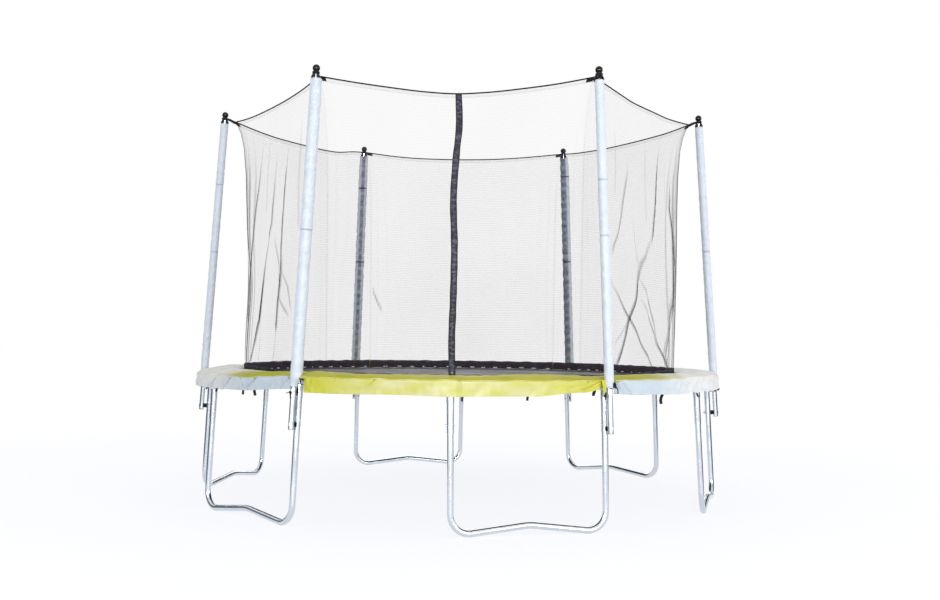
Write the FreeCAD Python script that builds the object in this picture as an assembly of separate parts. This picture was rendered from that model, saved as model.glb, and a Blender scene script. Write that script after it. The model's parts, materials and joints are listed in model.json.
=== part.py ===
import FreeCAD, Part
import math
import os

V = FreeCAD.Vector
UP = V(0, 0, 1)

# Driving dimensions, in millimetres and degrees. The floor is z = 0 and the front faces -Y.

# Ring
ring_radius = 1800.0
ring_height = 850.0
ring_tube_radius = 21.0
ring_tube_wall = 1.5
ring_tube_count = 12
spigot_length = 60.0
spigot_clearance = 0.3
ring_butt_gap = 0.2

# Legs: six W-shaped bases, each under two neighbouring ring tubes
leg_count = 6
first_leg_angle = -75.0
leg_lean = 3.0
riser_radius = 21.0
riser_wall = 1.5
riser_bottom = 585.0
riser_top = 824.0
socket_radius = 23.0
socket_bore_radius = 21.3
socket_bottom = 760.0
socket_bore_top = 826.0
bar_radius = 19.0
bar_wall = 1.5
bar_top = 660.0
bar_bend_radius = 110.0
bar_rise_angle = 6.5
bar_peak_radius = 300.0

# Poles, clamped outside every second leg tube
pole_radius = 17.0
pole_wall = 1.5
pole_offset = 55.0
pole_offset_height = 700.0
pole_bottom = 579.0
pole_joint = 1640.0
pole_top = 2690.0
pole_spigot_length = 90.0
sleeve_radius = 28.5
sleeve_bore_radius = 17.3
sleeve_bottom = 843.0
sleeve_top = 2678.0
plug_thickness = 3.0
plug_depth = 20.0

# Each pole's lean towards the middle and to its side, from the front right one on round the ring
pole_leans = [(3.5, -0.2), (3.5, 0.0), (3.5, 0.4), (3.5, 0.0), (3.5, 0.0), (3.8, 0.55)]

# Ball cap on each pole
cap_skirt_radius = 26.0
cap_skirt_height = 24.0
cap_shoulder_radius = 20.0
cap_neck_radius = 19.0
cap_neck_top = 44.0
cap_groove_radius = 15.0
cap_ball_radius = 21.0
cap_height = 83.0
cap_slot_width = 8.0
cap_slot_height = 18.0

# Clamps and leg screws
clamp_heights = [603.0, 800.0]
spacer_width = 24.0
spacer_height = 28.0
clamp_bolt_radius = 4.0
clamp_head_radius = 8.5
leg_screw_height = 628.0
leg_screw_radius = 3.0
leg_screw_head_radius = 6.0
bolt_clearance = 0.3
nut_height_ratio = 1.7
seat_gap = 0.1

# Net
net_thickness = 3.0
net_bottom = 868.0
net_corner_top = 2690.0
net_mid_bottom = 1500.0
net_mid_top = 1436.0
net_flat_share = 0.06
net_folds_each_side = 6
net_edge_fold = 1.5
net_fold_bottom = 920.0
net_fold_top = 2580.0
hem_height = 27.0
band_height = 48.0
trim_thickness = 3.0
trim_gap = 0.3
edge_overrun = 40.0
centre_gap = 40.0
tie_radius = 2.5
ties_per_panel = 6
strap_thickness = 2.2
strap_height = 14.0
strap_tail_height = 11.0
strap_level = 37.0
strap_end_height = 2685.0
strap_end_gap = 9.0

# Net corner radius at each height: pinched in at the poles' tops, nearly upright below
net_corner_levels = [
    (868.0, 1548.0),
    (920.0, 1548.8),
    (1400.0, 1556.0),
    (2000.0, 1566.0),
    (2580.0, 1592.0),
    (2720.0, 1668.0),
]

# Each net panel: the angle of its middle, the sag of its top edge and the depth of its folds
net_panels = [
    (-90.0, 82.0, 7.0),
    (-30.0, 60.0, 15.0),
    (30.0, 60.0, 15.0),
    (90.0, 36.0, 7.0),
    (150.0, 60.0, 15.0),
    (210.0, 60.0, 15.0),
]

# Zip in the middle of the front panel, a little out of upright
zip_width = 39.0
zip_tape_thickness = 1.6
zip_chain_width = 6.0
zip_chain_height = 2.5
zip_top = 2600.0
zip_side_lean = 0.92
zip_slider_start = 40.0
slider_half_length = 13.0
slider_half_width = 9.0
slider_plate = 3.0
slider_clearance = 0.5
pull_pin_radius = 1.3
pull_pin_height = 4.0
pull_eye_radius = 3.6
pull_width = 6.4
pull_thickness = 2.4
pull_length = 42.0

# Safety pad over the springs
pad_outer_radius = 1847.0
pad_skirt_bottom = 795.0
pad_crest_radius = 1700.0
pad_crest_height = 915.0
pad_skirt_thickness = 4.0
pad_notch_radius = 1812.0
pad_notch_half_width = 36.0
pad_gap_angle = 0.05
pad_strap_angles = [-140, -132, -129, -89, -76, -64, -48, -10, 40, 95, 135, 170]
pad_strap_width = 12.0
pad_strap_thickness = 2.0
pad_strap_top = 815.0
pad_strap_bottom = 768.0

# Jumping bed, its rings and the springs
bed_radius = 1595.0
bed_thickness = 3.0
bed_hem_width = 40.0
bed_hem_thickness = 6.0
spring_count = 72
v_ring_base = 1598.5
v_ring_apex = 1616.0
v_ring_half_width = 15.0
v_ring_wire = 2.5
spring_radius = 11.0
spring_wire = 2.0
spring_inner = 1619.0
spring_coil_start = 1630.0
spring_coil_end = 1770.0
spring_outer = 1778.5

# Worked-out values
tube_step = 360.0 / ring_tube_count
leg_step = 360.0 / leg_count
half_pitch = tube_step / 2
upright_reach = ring_radius * math.sin(math.radians(half_pitch))
leg_plane_distance = (
    ring_radius * math.cos(math.radians(half_pitch)) + ring_height * math.tan(math.radians(leg_lean))
)
bar_lowest = bar_radius / math.cos(math.radians(leg_lean))
pole_angles = [first_leg_angle + half_pitch + leg_step * k for k in range(leg_count)]
zip_lean = math.atan((net_mid_bottom - net_mid_top) / (net_corner_top - net_bottom))


def polar(radius, angle, height=0.0):
    """The point at a radius, an angle in degrees and a height."""
    a = math.radians(angle)
    return V(radius * math.cos(a), radius * math.sin(a), height)


def unit(vector):
    return vector * (1.0 / vector.Length)


def rod(start, end, radius):
    return Part.makeCylinder(radius, (end - start).Length, start, end - start)


def pipe(start, end, outer, inner):
    return rod(start, end, outer).cut(rod(start, end, inner))


def placed(shape, origin, x_axis, y_axis, z_axis):
    """A shape drawn at the origin, moved so that its axes lie along the three given ones."""
    m = FreeCAD.Matrix(
        x_axis.x, y_axis.x, z_axis.x, origin.x,
        x_axis.y, y_axis.y, z_axis.y, origin.y,
        x_axis.z, y_axis.z, z_axis.z, origin.z,
        0, 0, 0, 1,
    )
    moved = shape.copy()
    moved.Placement = FreeCAD.Placement(m)
    return moved


def block(x_range, y_range, z_range):
    size = [high - low for low, high in (x_range, y_range, z_range)]
    return Part.makeBox(size[0], size[1], size[2], V(x_range[0], y_range[0], z_range[0]))


def fused(shapes):
    return shapes[0].multiFuse(shapes[1:]).removeSplitter()


def save(name, solids):
    shape = solids[0] if len(solids) == 1 else Part.makeCompound(solids)
    shape.exportStep("parts/" + name + ".step")
    print(name, len(solids), "solids", round(sum(s.Volume for s in solids) / 1000.0, 1), "cm3")


def axis_frame(axis, side):
    """Three square axes: the first as near to side as the third, axis, allows."""
    z_axis = unit(axis)
    x_axis = unit(side - z_axis * side.dot(z_axis))
    return x_axis, z_axis.cross(x_axis), z_axis


# Legs and ring


def leg_axes(mid_angle):
    """A leg's outward, sideways and upward directions; the upward one leans in by leg_lean."""
    out = polar(1, mid_angle)
    side = polar(1, mid_angle + 90)
    lean = math.radians(leg_lean)
    up = UP * math.cos(lean) - out * math.sin(lean)
    return out, side, up


def leg_point(mid_angle, across, height):
    """A point in a leg's leaning plane, by its distance from the middle and its true height."""
    out, side, up = leg_axes(mid_angle)
    return out * leg_plane_distance + side * across + up * (height / math.cos(math.radians(leg_lean)))


def upright_mid(angle):
    """The middle angle of the leg that the upright at this angle belongs to."""
    steps = round((angle - first_leg_angle - half_pitch) / tube_step)
    return angle - half_pitch if steps % 2 == 0 else angle + half_pitch


def carries_pole(angle):
    return any(abs(angle - pole) < 1 for pole in pole_angles)


def upright_point(angle, height):
    mid = upright_mid(angle)
    across = upright_reach if mid < angle else -upright_reach
    return leg_point(mid, across, height)


def upright_axis(angle):
    return leg_axes(upright_mid(angle))[2]


def pole_direction(angle):
    inward, sideways = pole_leans[round((angle - pole_angles[0]) / leg_step)]
    lean = polar(math.tan(math.radians(sideways)), angle + 90) - polar(math.tan(math.radians(inward)), angle)
    return unit(UP + lean)


def pole_point(angle, height):
    base = upright_point(angle, pole_offset_height) + polar(1, angle) * pole_offset
    along = pole_direction(angle)
    return base + along * ((height - pole_offset_height) / along.z)


def clamp_leg_radius(height):
    """A clamp bears on the ring's socket where that covers the leg, and on the leg itself below it."""
    return socket_radius if height > socket_bottom else riser_radius


def clamp_frame(angle, height):
    """A clamp's origin on the leg's axis, its outward, sideways and upward axes, and the axes' distance."""
    origin = upright_point(angle, height)
    outward, sideways, upward = axis_frame(upright_axis(angle), pole_point(angle, height) - origin)
    distance = (pole_point(angle, height) - origin).dot(outward)
    return origin, outward, sideways, upward, distance


def clamp_hole(angle, height):
    origin, outward, _, _, distance = clamp_frame(angle, height)
    reach = distance + 2 * pole_radius
    return rod(origin - outward * 2 * riser_radius, origin + outward * reach, clamp_bolt_radius + bolt_clearance)


def screw_hole(angle):
    origin = upright_point(angle, leg_screw_height)
    side = leg_axes(upright_mid(angle))[1]
    reach = side * 2 * riser_radius
    return rod(origin - reach, origin + reach, leg_screw_radius + bolt_clearance)


def ring_arc(radius, start, end):
    arc = Part.makeTorus(ring_radius, radius, V(0, 0, 0), UP, -180, 180, end - start)
    arc.rotate(V(0, 0, 0), UP, start)
    arc.translate(V(0, 0, ring_height))
    return arc


def ring_tube(angle):
    """One curved tube with its welded leg socket, and a narrowed end that plugs into the next tube."""
    butt = math.degrees(ring_butt_gap / ring_radius)
    spigot_angle = math.degrees(spigot_length / ring_radius)
    start = angle - half_pitch
    end = angle + half_pitch - butt
    bore = ring_tube_radius - ring_tube_wall
    spigot = bore - spigot_clearance
    socket = rod(upright_point(angle, socket_bottom), upright_point(angle, ring_height), socket_radius)
    tube = fused([ring_arc(ring_tube_radius, start, end), ring_arc(spigot, end - 0.5, end + spigot_angle), socket])
    tube = tube.cut(ring_arc(bore, start - 0.5, end - 0.5))
    tube = tube.cut(ring_arc(spigot - ring_tube_wall, end - 1.0, end + spigot_angle + 0.5))
    socket_mouth = upright_point(angle, socket_bottom - 1)
    tube = tube.cut(rod(socket_mouth, upright_point(angle, socket_bore_top), socket_bore_radius))
    if carries_pole(angle):
        tube = tube.cut(clamp_hole(angle, clamp_heights[1]))
    return tube


def bar_runs(mid_angle):
    """The W-shaped centreline as straight runs, and as bends given by centre, start, turning side and angle."""
    rise = math.radians(bar_rise_angle)
    bend_centre = upright_reach - bar_bend_radius
    bend_height = bar_lowest + bar_bend_radius
    foot_x = bend_centre - bar_bend_radius * math.sin(rise)
    foot_z = bend_height - bar_bend_radius * math.cos(rise)
    peak_x = bar_peak_radius * math.sin(rise)
    peak_z = foot_z + (foot_x - peak_x) * math.tan(rise)
    peak_centre = peak_z - bar_peak_radius * math.cos(rise)

    _, side, up = leg_axes(mid_angle)

    def at(across, height):
        return leg_point(mid_angle, 0, 0) + side * across + up * height

    top = bar_top / math.cos(math.radians(leg_lean))
    runs = []
    for sign in (-1, 1):
        runs.append((at(sign * upright_reach, top), at(sign * upright_reach, bend_height)))
        runs.append((at(sign * foot_x, foot_z), at(sign * peak_x, peak_z)))
    turn = 90.0 + bar_rise_angle
    bends = [
        (at(-bend_centre, bend_height), at(-upright_reach, bend_height), 1, turn),
        (at(0, peak_centre), at(-peak_x, peak_z), -1, 2 * bar_rise_angle),
        (at(bend_centre, bend_height), at(upright_reach, bend_height), -1, turn),
    ]
    return runs, bends


def tube_end(start, heading, outer, inner):
    """A tube's cut face, square to its heading."""
    discs = [Part.Face(Part.Wire(Part.makeCircle(radius, start, heading))) for radius in (outer, inner)]
    return discs[0].cut(discs[1]).Faces[0]


def leg_base(mid_angle):
    """One bent tube that makes both feet and the wavy bar between them."""
    _, side, up = leg_axes(mid_angle)
    normal = side.cross(up)
    inner = bar_radius - bar_wall
    runs, bends = bar_runs(mid_angle)
    lengths = [tube_end(start, end - start, bar_radius, inner).extrude(end - start) for start, end in runs]
    for centre, start, way, turn in bends:
        heading = normal.cross(start - centre) * way
        lengths.append(tube_end(start, heading, bar_radius, inner).revolve(centre, normal * way, turn))
    base = fused(lengths)
    pole_side = mid_angle + half_pitch
    holes = [screw_hole(mid_angle - half_pitch), screw_hole(pole_side), clamp_hole(pole_side, clamp_heights[0])]
    return base.cut(Part.makeCompound(holes))


def leg_riser(angle):
    inner = riser_radius - riser_wall
    riser = pipe(upright_point(angle, riser_bottom), upright_point(angle, riser_top), riser_radius, inner)
    holes = [screw_hole(angle)]
    if carries_pole(angle):
        holes += [clamp_hole(angle, height) for height in clamp_heights]
    return riser.cut(Part.makeCompound(holes))


# Poles


def pole_lower(angle):
    tube = pipe(pole_point(angle, pole_bottom), pole_point(angle, pole_joint), pole_radius, pole_radius - pole_wall)
    return tube.cut(Part.makeCompound([clamp_hole(angle, height) for height in clamp_heights]))


def pole_upper(angle):
    """The upper half, with a narrowed lower end that sits inside the lower half."""
    inner = pole_radius - pole_wall
    spigot = inner - spigot_clearance
    body = rod(pole_point(angle, pole_joint), pole_point(angle, pole_top), pole_radius)
    neck = rod(pole_point(angle, pole_joint - pole_spigot_length), pole_point(angle, pole_joint + 5), spigot)
    bore_start = pole_point(angle, pole_joint - pole_spigot_length - 1)
    upper_bore = rod(pole_point(angle, pole_joint + 5), pole_point(angle, pole_top + 1), inner)
    tube = fused([body, neck]).cut(upper_bore)
    return tube.cut(rod(bore_start, pole_point(angle, pole_joint + 6), spigot - pole_wall))


def pole_sleeve(angle):
    start = pole_point(angle, sleeve_bottom)
    return pipe(start, pole_point(angle, sleeve_top), sleeve_radius, sleeve_bore_radius)


def pole_plug(angle):
    foot = pole_point(angle, pole_bottom)
    along = pole_direction(angle)
    disc = rod(foot - along * plug_thickness, foot, pole_radius)
    stem = rod(foot, foot + along * plug_depth, pole_radius - pole_wall - spigot_clearance)
    hole = clamp_hole(angle, clamp_heights[0])
    return fused([disc, stem]).cut(hole)


def pole_cap():
    """A ball on a neck and a flared skirt, slit in four places, drawn standing at the origin."""
    skirt = Part.makeCone(cap_skirt_radius, cap_shoulder_radius, cap_skirt_height)
    neck = rod(V(0, 0, cap_skirt_height), V(0, 0, cap_neck_top), cap_neck_radius)
    ball_centre = cap_height - cap_ball_radius
    groove = rod(V(0, 0, cap_neck_top), V(0, 0, ball_centre), cap_groove_radius)
    ball = Part.makeSphere(cap_ball_radius, V(0, 0, ball_centre))
    cap = fused([skirt, neck, groove, ball])
    bore_depth = pole_top - sleeve_top + 1
    cuts = [rod(V(0, 0, -1), V(0, 0, bore_depth), sleeve_bore_radius)]
    half = cap_slot_width / 2
    for turn in range(4):
        slot = block((pole_radius - 1, 2 * cap_skirt_radius), (-half, half), (-1, cap_slot_height))
        slot.rotate(V(0, 0, 0), UP, 90 * turn)
        cuts.append(slot)
    return cap.cut(Part.makeCompound(cuts))


def on_pole(shape, angle, height):
    x_axis, y_axis, z_axis = axis_frame(pole_direction(angle), polar(1, angle))
    return placed(shape, pole_point(angle, height), x_axis, y_axis, z_axis)


# Bolts, nuts and spacers


def bolt(radius, head_radius, shank):
    """A round-headed bolt along X: the head's seat is at x = 0 and the shank runs to -shank."""
    head_height = radius * 1.2
    head = rod(V(0, 0, 0), V(head_height, 0, 0), head_radius)
    rim = [e for e in head.Edges if abs(e.CenterOfMass.x - head_height) < 0.01 and e.Length > head_radius]
    head = head.makeFillet(head_height * 0.6, rim)
    return fused([head, rod(V(-shank, 0, 0), V(0.5, 0, 0), radius)])


def nut(radius):
    """A domed hexagon nut along X: its seat is at x = 0 and it stands towards -X."""
    height = radius * nut_height_ratio
    corner = radius * 2.0
    points = [V(0, corner * math.cos(math.radians(a)), corner * math.sin(math.radians(a))) for a in range(0, 361, 60)]
    hexagon = Part.Face(Part.makePolygon(points)).extrude(V(-height, 0, 0))
    dome = Part.makeSphere(corner * 0.8, V(-height + radius * 0.4, 0, 0))
    body = fused([hexagon, dome.cut(block((-height * 0.5, 99), (-99, 99), (-99, 99)))])
    return body.cut(rod(V(-height, 0, 0), V(1, 0, 0), radius))


def clamp_fastener(angle, height, shape, at_leg):
    """Places a bolt head outside the pole, or a nut inside the leg."""
    origin, outward, sideways, upward, distance = clamp_frame(angle, height)
    seat = -(clamp_leg_radius(height) + seat_gap) if at_leg else distance + pole_radius + seat_gap
    return placed(shape, origin + outward * seat, outward, sideways, upward)


def screw_fastener(angle, shape, on_near_side):
    """Places a screw head on one side of the upright, or its nut on the other."""
    _, side, up = leg_axes(upright_mid(angle))
    sign = 1 if on_near_side else -1
    origin = upright_point(angle, leg_screw_height) + side * sign * (riser_radius + seat_gap)
    return placed(shape, origin, side, up, side.cross(up))


def clamp_spacer(angle, height):
    """A plastic block, hollowed on both faces to seat the leg and the pole."""
    origin, outward, sideways, upward, distance = clamp_frame(angle, height)
    half_width = spacer_width / 2
    body = block((0, distance), (-half_width, half_width), (-spacer_height / 2, spacer_height / 2))
    body = placed(body, origin, outward, sideways, upward)
    low = height - 2 * spacer_height
    high = height + 2 * spacer_height
    leg = rod(upright_point(angle, low), upright_point(angle, high), clamp_leg_radius(height) + seat_gap)
    pole = rod(pole_point(angle, low), pole_point(angle, high), pole_radius + seat_gap)
    body = body.cut(leg).cut(pole).cut(clamp_hole(angle, height))
    keep = [s for s in body.Solids if abs((s.CenterOfMass - origin).dot(outward) - distance / 2) < 9]
    return max(keep, key=lambda s: s.Volume)


# Net


def between(levels, height):
    """A value read from a list of (height, value) pairs by straight lines."""
    for (z0, v0), (z1, v1) in zip(levels, levels[1:]):
        if height <= z1:
            return v0 + (v1 - v0) * (height - z0) / (z1 - z0)
    return levels[-1][1]


def net_mid(height):
    share = (height - net_bottom) / (net_corner_top - net_bottom)
    return net_mid_bottom + (net_mid_top - net_mid_bottom) * share


def net_point(mid_angle, share, height, outside, push=0.0):
    """A point of a panel: share runs from -1 to 1 between its corners, outside is its distance off the net."""
    corner = between(net_corner_levels, height)
    half = math.radians(leg_step / 2)
    span = max(0.0, abs(share) - net_flat_share) / (1 - net_flat_share)
    middle = net_mid(height)
    away = middle - (middle - corner * math.cos(half)) * span ** 2 + push
    across = share * corner * math.sin(half)
    point = polar(away, mid_angle) + polar(across, mid_angle + 90) + UP * height
    if abs(share) == 1:
        radial = unit(V(point.x, point.y, 0))
        return point + radial * (outside / math.cos(half))
    return point + polar(outside, mid_angle)


def fold_shares():
    """The shares where the folds meet, with one flat stretch in the middle."""
    step = (1 - net_flat_share) / net_folds_each_side
    right = [net_flat_share + step * i for i in range(net_folds_each_side)] + [1.0]
    return [-s for s in reversed(right)] + right


def net_edges(mid_angle, height, outside, fold):
    """One face's line at one height: a row of shallow arcs, in and out by turns, and a straight middle."""
    edges = []
    shares = fold_shares()
    for i, (a, b) in enumerate(zip(shares, shares[1:])):
        start = net_point(mid_angle, a, height, outside)
        end = net_point(mid_angle, b, height, outside)
        if i == net_folds_each_side:
            edges.append(Part.LineSegment(start, end).toShape())
            continue
        push = fold if i % 2 == 0 else -fold
        edges.append(Part.Arc(start, net_point(mid_angle, (a + b) / 2, height, outside, push), end).toShape())
    return edges


def net_section(mid_angle, height, outer, inner, fold):
    front = net_edges(mid_angle, height, outer, fold)
    back = net_edges(mid_angle, height, inner, fold)
    ends = [net_point(mid_angle, s, height, o) for s, o in ((1.0, outer), (1.0, inner), (-1.0, inner), (-1.0, outer))]
    closing = [Part.LineSegment(ends[0], ends[1]).toShape(), Part.LineSegment(ends[2], ends[3]).toShape()]
    return Part.Wire(Part.__sortEdges__(front + [closing[0]] + back + [closing[1]]))


def net_loft(mid_angle, heights, outer, inner, fold):
    """A folded sheet between two faces; the folds fade to almost nothing below its hem and above its band."""
    wires = []
    for height in heights:
        rise = (height - net_fold_bottom) / (net_fold_top - net_fold_bottom)
        depth = max(net_edge_fold, fold * math.sin(math.pi * min(1.0, max(0.0, rise))))
        wires.append(net_section(mid_angle, height, outer, inner, depth))
    return Part.makeLoft(wires, True, True)


def above_edge(mid_angle, sag, drop):
    """The space above a panel's sagging top edge, lowered by drop."""
    net_corner = net_corner_levels[-1][1] * math.sin(math.radians(leg_step / 2))
    corner = net_corner + edge_overrun
    lowest = net_corner_top - sag - drop
    ends = lowest + sag * (corner / net_corner) ** 2
    top = net_corner_top + 10 * edge_overrun
    low = polar(1000, mid_angle)
    side = polar(1, mid_angle + 90)

    def at(across, height):
        return low + side * across + UP * height

    edges = [
        Part.Arc(at(-corner, ends), at(0, lowest), at(corner, ends)),
        Part.LineSegment(at(corner, ends), at(corner, top)),
        Part.LineSegment(at(corner, top), at(-corner, top)),
        Part.LineSegment(at(-corner, top), at(-corner, ends)),
    ]
    face = Part.Face(Part.Wire([edge.toShape() for edge in edges]))
    return face.extrude(polar(900, mid_angle))


def net_panel(mid_angle, sag, fold):
    heights = [level[0] for level in net_corner_levels]
    sheet = net_loft(mid_angle, heights, 0.0, -net_thickness, fold)
    return sheet.cut(above_edge(mid_angle, sag, 0.0))


def front_gap(shapes, mid_angle):
    """Parts a front trim in the middle, where the zip runs."""
    if mid_angle != net_panels[0][0]:
        return shapes
    half = centre_gap / 2
    gap = on_zip(block((-half, half), (-half, half), (-half, net_corner_top - net_bottom)))
    return [solid for shape in shapes for solid in shape.cut(gap).Solids]


def net_hem(mid_angle, sag, fold):
    """The doubled hem along a panel's top edge, on its outer face."""
    heights = [level[0] for level in net_corner_levels[-2:]]
    heights = [net_corner_levels[-2][0] - 60] + heights
    sheet = net_loft(mid_angle, heights, trim_thickness + trim_gap, trim_gap, net_edge_fold)
    hem = sheet.cut(above_edge(mid_angle, sag, 0.0)).common(above_edge(mid_angle, sag, hem_height))
    return front_gap(hem.Solids, mid_angle)


def net_band(mid_angle):
    """The band sewn round a panel's lower edge, on its outer face."""
    heights = [net_bottom, net_bottom + band_height]
    band = net_loft(mid_angle, heights, trim_thickness + trim_gap, trim_gap, net_edge_fold)
    return front_gap([band], mid_angle)


def net_ties():
    """Elastic loops that hold the net's lower edge down to the bed."""
    ties = []
    bottom = ring_height + bed_hem_thickness / 2 + 1
    for mid_angle, _, _ in net_panels:
        for i in range(ties_per_panel):
            share = (2 * i + 1) / ties_per_panel - 1
            top = net_point(mid_angle, share, net_bottom, -net_thickness / 2)
            top.z = net_bottom - 0.2
            ties.append(rod(V(top.x, top.y, bottom), top, tie_radius))
    return ties


def corner_strap(angle):
    """A webbing ring round the cap's neck, with a tail to the net's corner."""
    along = pole_direction(angle)
    centre = pole_point(angle, sleeve_top) + along * strap_level
    half = along * (strap_height / 2)
    inner = cap_neck_radius + 0.2
    ring = pipe(centre - half, centre + half, inner + strap_thickness, inner)
    corner = polar(between(net_corner_levels, strap_end_height) + strap_end_gap, angle, strap_end_height)
    x_axis, y_axis, z_axis = axis_frame((corner - centre).cross(polar(1, angle + 90)), corner - centre)
    length = (corner - centre).Length
    half_thickness = strap_thickness / 2
    tail_half = strap_tail_height / 2
    tail = block((inner - 4, length), (-half_thickness, half_thickness), (-tail_half, tail_half))
    tail = placed(tail, centre, x_axis, y_axis, z_axis)
    tail = tail.cut(rod(centre - along * cap_height, centre + along * cap_height, cap_shoulder_radius + 0.5))
    return fused([ring, tail])


# Zip, drawn in its own frame: X across, Y out of the net, Z up along the zip


def zip_axes():
    """The zip's across, outward and upward directions: it leans back with the net and a little to its right."""
    upright = V(0, math.sin(zip_lean), math.cos(zip_lean))
    outward = V(0, -math.cos(zip_lean), math.sin(zip_lean))
    tip = math.radians(zip_side_lean)
    up = upright * math.cos(tip) + V(math.sin(tip), 0, 0)
    across = upright * math.sin(tip) - V(math.cos(tip), 0, 0)
    return across, outward, up


def on_zip(shape, rise=0.0):
    across, outward, up = zip_axes()
    origin = V(0, -net_mid_bottom, net_bottom) + up * rise
    return placed(shape, origin, across, outward, up)


def zip_tape():
    length = (zip_top - net_bottom) / math.cos(zip_lean)
    face = trim_gap + zip_tape_thickness
    half = zip_width / 2
    tape = block((-half, half), (trim_gap, face), (0, length))
    half_chain = zip_chain_width / 2
    chain = block((-half_chain, half_chain), (face - 0.1, face + zip_chain_height), (8, length))
    return on_zip(fused([tape, chain]))


def slider_face():
    return trim_gap + zip_tape_thickness + zip_chain_height + slider_clearance + slider_plate


def zip_slider():
    """A plate over the zip's chain, with a flange on each side of it and two lugs for the pull."""
    top = slider_face()
    low = trim_gap + zip_tape_thickness + slider_clearance
    w = slider_half_width
    length = (-slider_half_length, slider_half_length)
    shapes = [block((-w, w), (top - slider_plate, top), length)]
    flange_inside = zip_chain_width / 2 + slider_clearance
    lug_inside = pull_width / 2 + slider_clearance
    for sign in (-1, 1):
        flange = sorted([sign * flange_inside, sign * (w - 1)])
        shapes.append(block(flange, (low, top - slider_plate), length))
        lug = sorted([sign * lug_inside, sign * (lug_inside + 2)])
        shapes.append(block(lug, (top - 0.5, top + pull_pin_height + 3), (-3, 3)))
    pin_y = top + pull_pin_height
    shapes.append(rod(V(-lug_inside - 1, pin_y, 0), V(lug_inside + 1, pin_y, 0), pull_pin_radius))
    return on_zip(fused(shapes), zip_slider_start)


def zip_pull():
    """A flat tab that hangs from the slider's pin by an eye."""
    pin_y = slider_face() + pull_pin_height
    half = pull_width / 2
    thin = pull_thickness / 2
    eye = rod(V(-half, pin_y, 0), V(half, pin_y, 0), pull_eye_radius)
    tab = block((-half, half), (pin_y - thin, pin_y + thin), (-pull_length, 0))
    hole = rod(V(-half - 1, pin_y, 0), V(half + 1, pin_y, 0), pull_pin_radius + 0.06)
    return on_zip(fused([eye, tab]).cut(hole), zip_slider_start)


# Pad


def pad_profile():
    """The pad's cut face: a crowned top over the springs and ring, and a thin skirt outside."""
    ring_top = ring_height + ring_tube_radius
    skirt_inner = pad_outer_radius - pad_skirt_thickness
    spring_top = ring_height + spring_radius + 0.5

    def at(radius, height):
        return V(radius, 0, height)

    nose_low = at(1567, spring_top)
    nose_top = at(1570, spring_top + 24)
    crest = at(pad_crest_radius, pad_crest_height)
    shoulder = at(pad_outer_radius - 17, ring_top + 27)
    rim = at(pad_outer_radius, ring_top + 12)
    hem_outer = at(pad_outer_radius, pad_skirt_bottom)
    hem_inner = at(skirt_inner, pad_skirt_bottom)
    corner = at(skirt_inner, ring_top - 4)
    over_outer = at(skirt_inner - 6, ring_top + 0.6)
    over_inner = at(1775, ring_top + 0.6)
    spring_side = at(1765, spring_top + 1.5)
    edges = [
        Part.Arc(nose_low, at(1562, spring_top + 13), nose_top),
        Part.Arc(nose_top, at(1625, pad_crest_height - 8), crest),
        Part.Arc(crest, at(1770, pad_crest_height - 4), shoulder),
        Part.Arc(shoulder, at(pad_outer_radius - 4, ring_top + 21), rim),
        Part.LineSegment(rim, hem_outer),
        Part.LineSegment(hem_outer, hem_inner),
        Part.LineSegment(hem_inner, corner),
        Part.LineSegment(corner, over_outer),
        Part.LineSegment(over_outer, over_inner),
        Part.LineSegment(over_inner, spring_side),
        Part.LineSegment(spring_side, nose_low),
    ]
    return Part.Face(Part.Wire([edge.toShape() for edge in edges]))


def pad_section(mid_angle):
    """One sixth of the pad, notched at both ends to clear the poles' sleeves."""
    span = leg_step - 2 * pad_gap_angle
    pad = pad_profile().revolve(V(0, 0, 0), UP, span)
    pad.rotate(V(0, 0, 0), UP, mid_angle - span / 2)
    w = pad_notch_half_width
    for sign in (-1, 1):
        notch = block((pad_notch_radius, pad_outer_radius + w), (-w, w), (pad_skirt_bottom - w, pad_crest_height + w))
        notch.rotate(V(0, 0, 0), UP, mid_angle + sign * leg_step / 2)
        pad = pad.cut(notch)
    return pad


def pad_strap(angle):
    """A loose strap end that hangs inside the skirt."""
    outer = pad_outer_radius - pad_skirt_thickness
    half = pad_strap_width / 2
    strap = block((outer - pad_strap_thickness - 1, outer - 1), (-half, half), (pad_strap_bottom, pad_strap_top))
    strap.rotate(V(0, 0, 0), UP, angle)
    return strap


# Bed


def bed_mat():
    """A round woven sheet with a doubled hem."""
    half = bed_thickness / 2
    half_hem = bed_hem_thickness / 2
    hem_inner = bed_radius - bed_hem_width
    sheet = rod(V(0, 0, ring_height - half), V(0, 0, ring_height + half), hem_inner + 1)
    low = V(0, 0, ring_height - half_hem)
    high = V(0, 0, ring_height + half_hem)
    return fused([pipe(low, high, bed_radius, hem_inner), sheet])


def v_ring():
    """A three-sided steel ring: a straight side at the bed's hem and a point for the spring's hook."""
    corners = [
        V(v_ring_base, -v_ring_half_width, ring_height),
        V(v_ring_base, v_ring_half_width, ring_height),
        V(v_ring_apex, 0, ring_height),
    ]
    shapes = [rod(a, b, v_ring_wire) for a, b in zip(corners, corners[1:] + corners[:1])]
    shapes += [Part.makeSphere(v_ring_wire, corner) for corner in corners]
    return fused(shapes)


def spring():
    """The space of one closely wound spring and its two hooks."""
    hooks = rod(V(spring_inner, 0, ring_height), V(spring_outer, 0, ring_height), spring_wire)
    coil = rod(V(spring_coil_start, 0, ring_height), V(spring_coil_end, 0, ring_height), spring_radius)
    return fused([hooks, coil])


def all_round(shape):
    """Copies of a shape at every spring's angle."""
    step = 360.0 / spring_count
    copies = []
    for i in range(spring_count):
        turned = shape.copy()
        turned.rotate(V(0, 0, 0), UP, step * (i + 0.5))
        copies.append(turned)
    return copies


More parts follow.
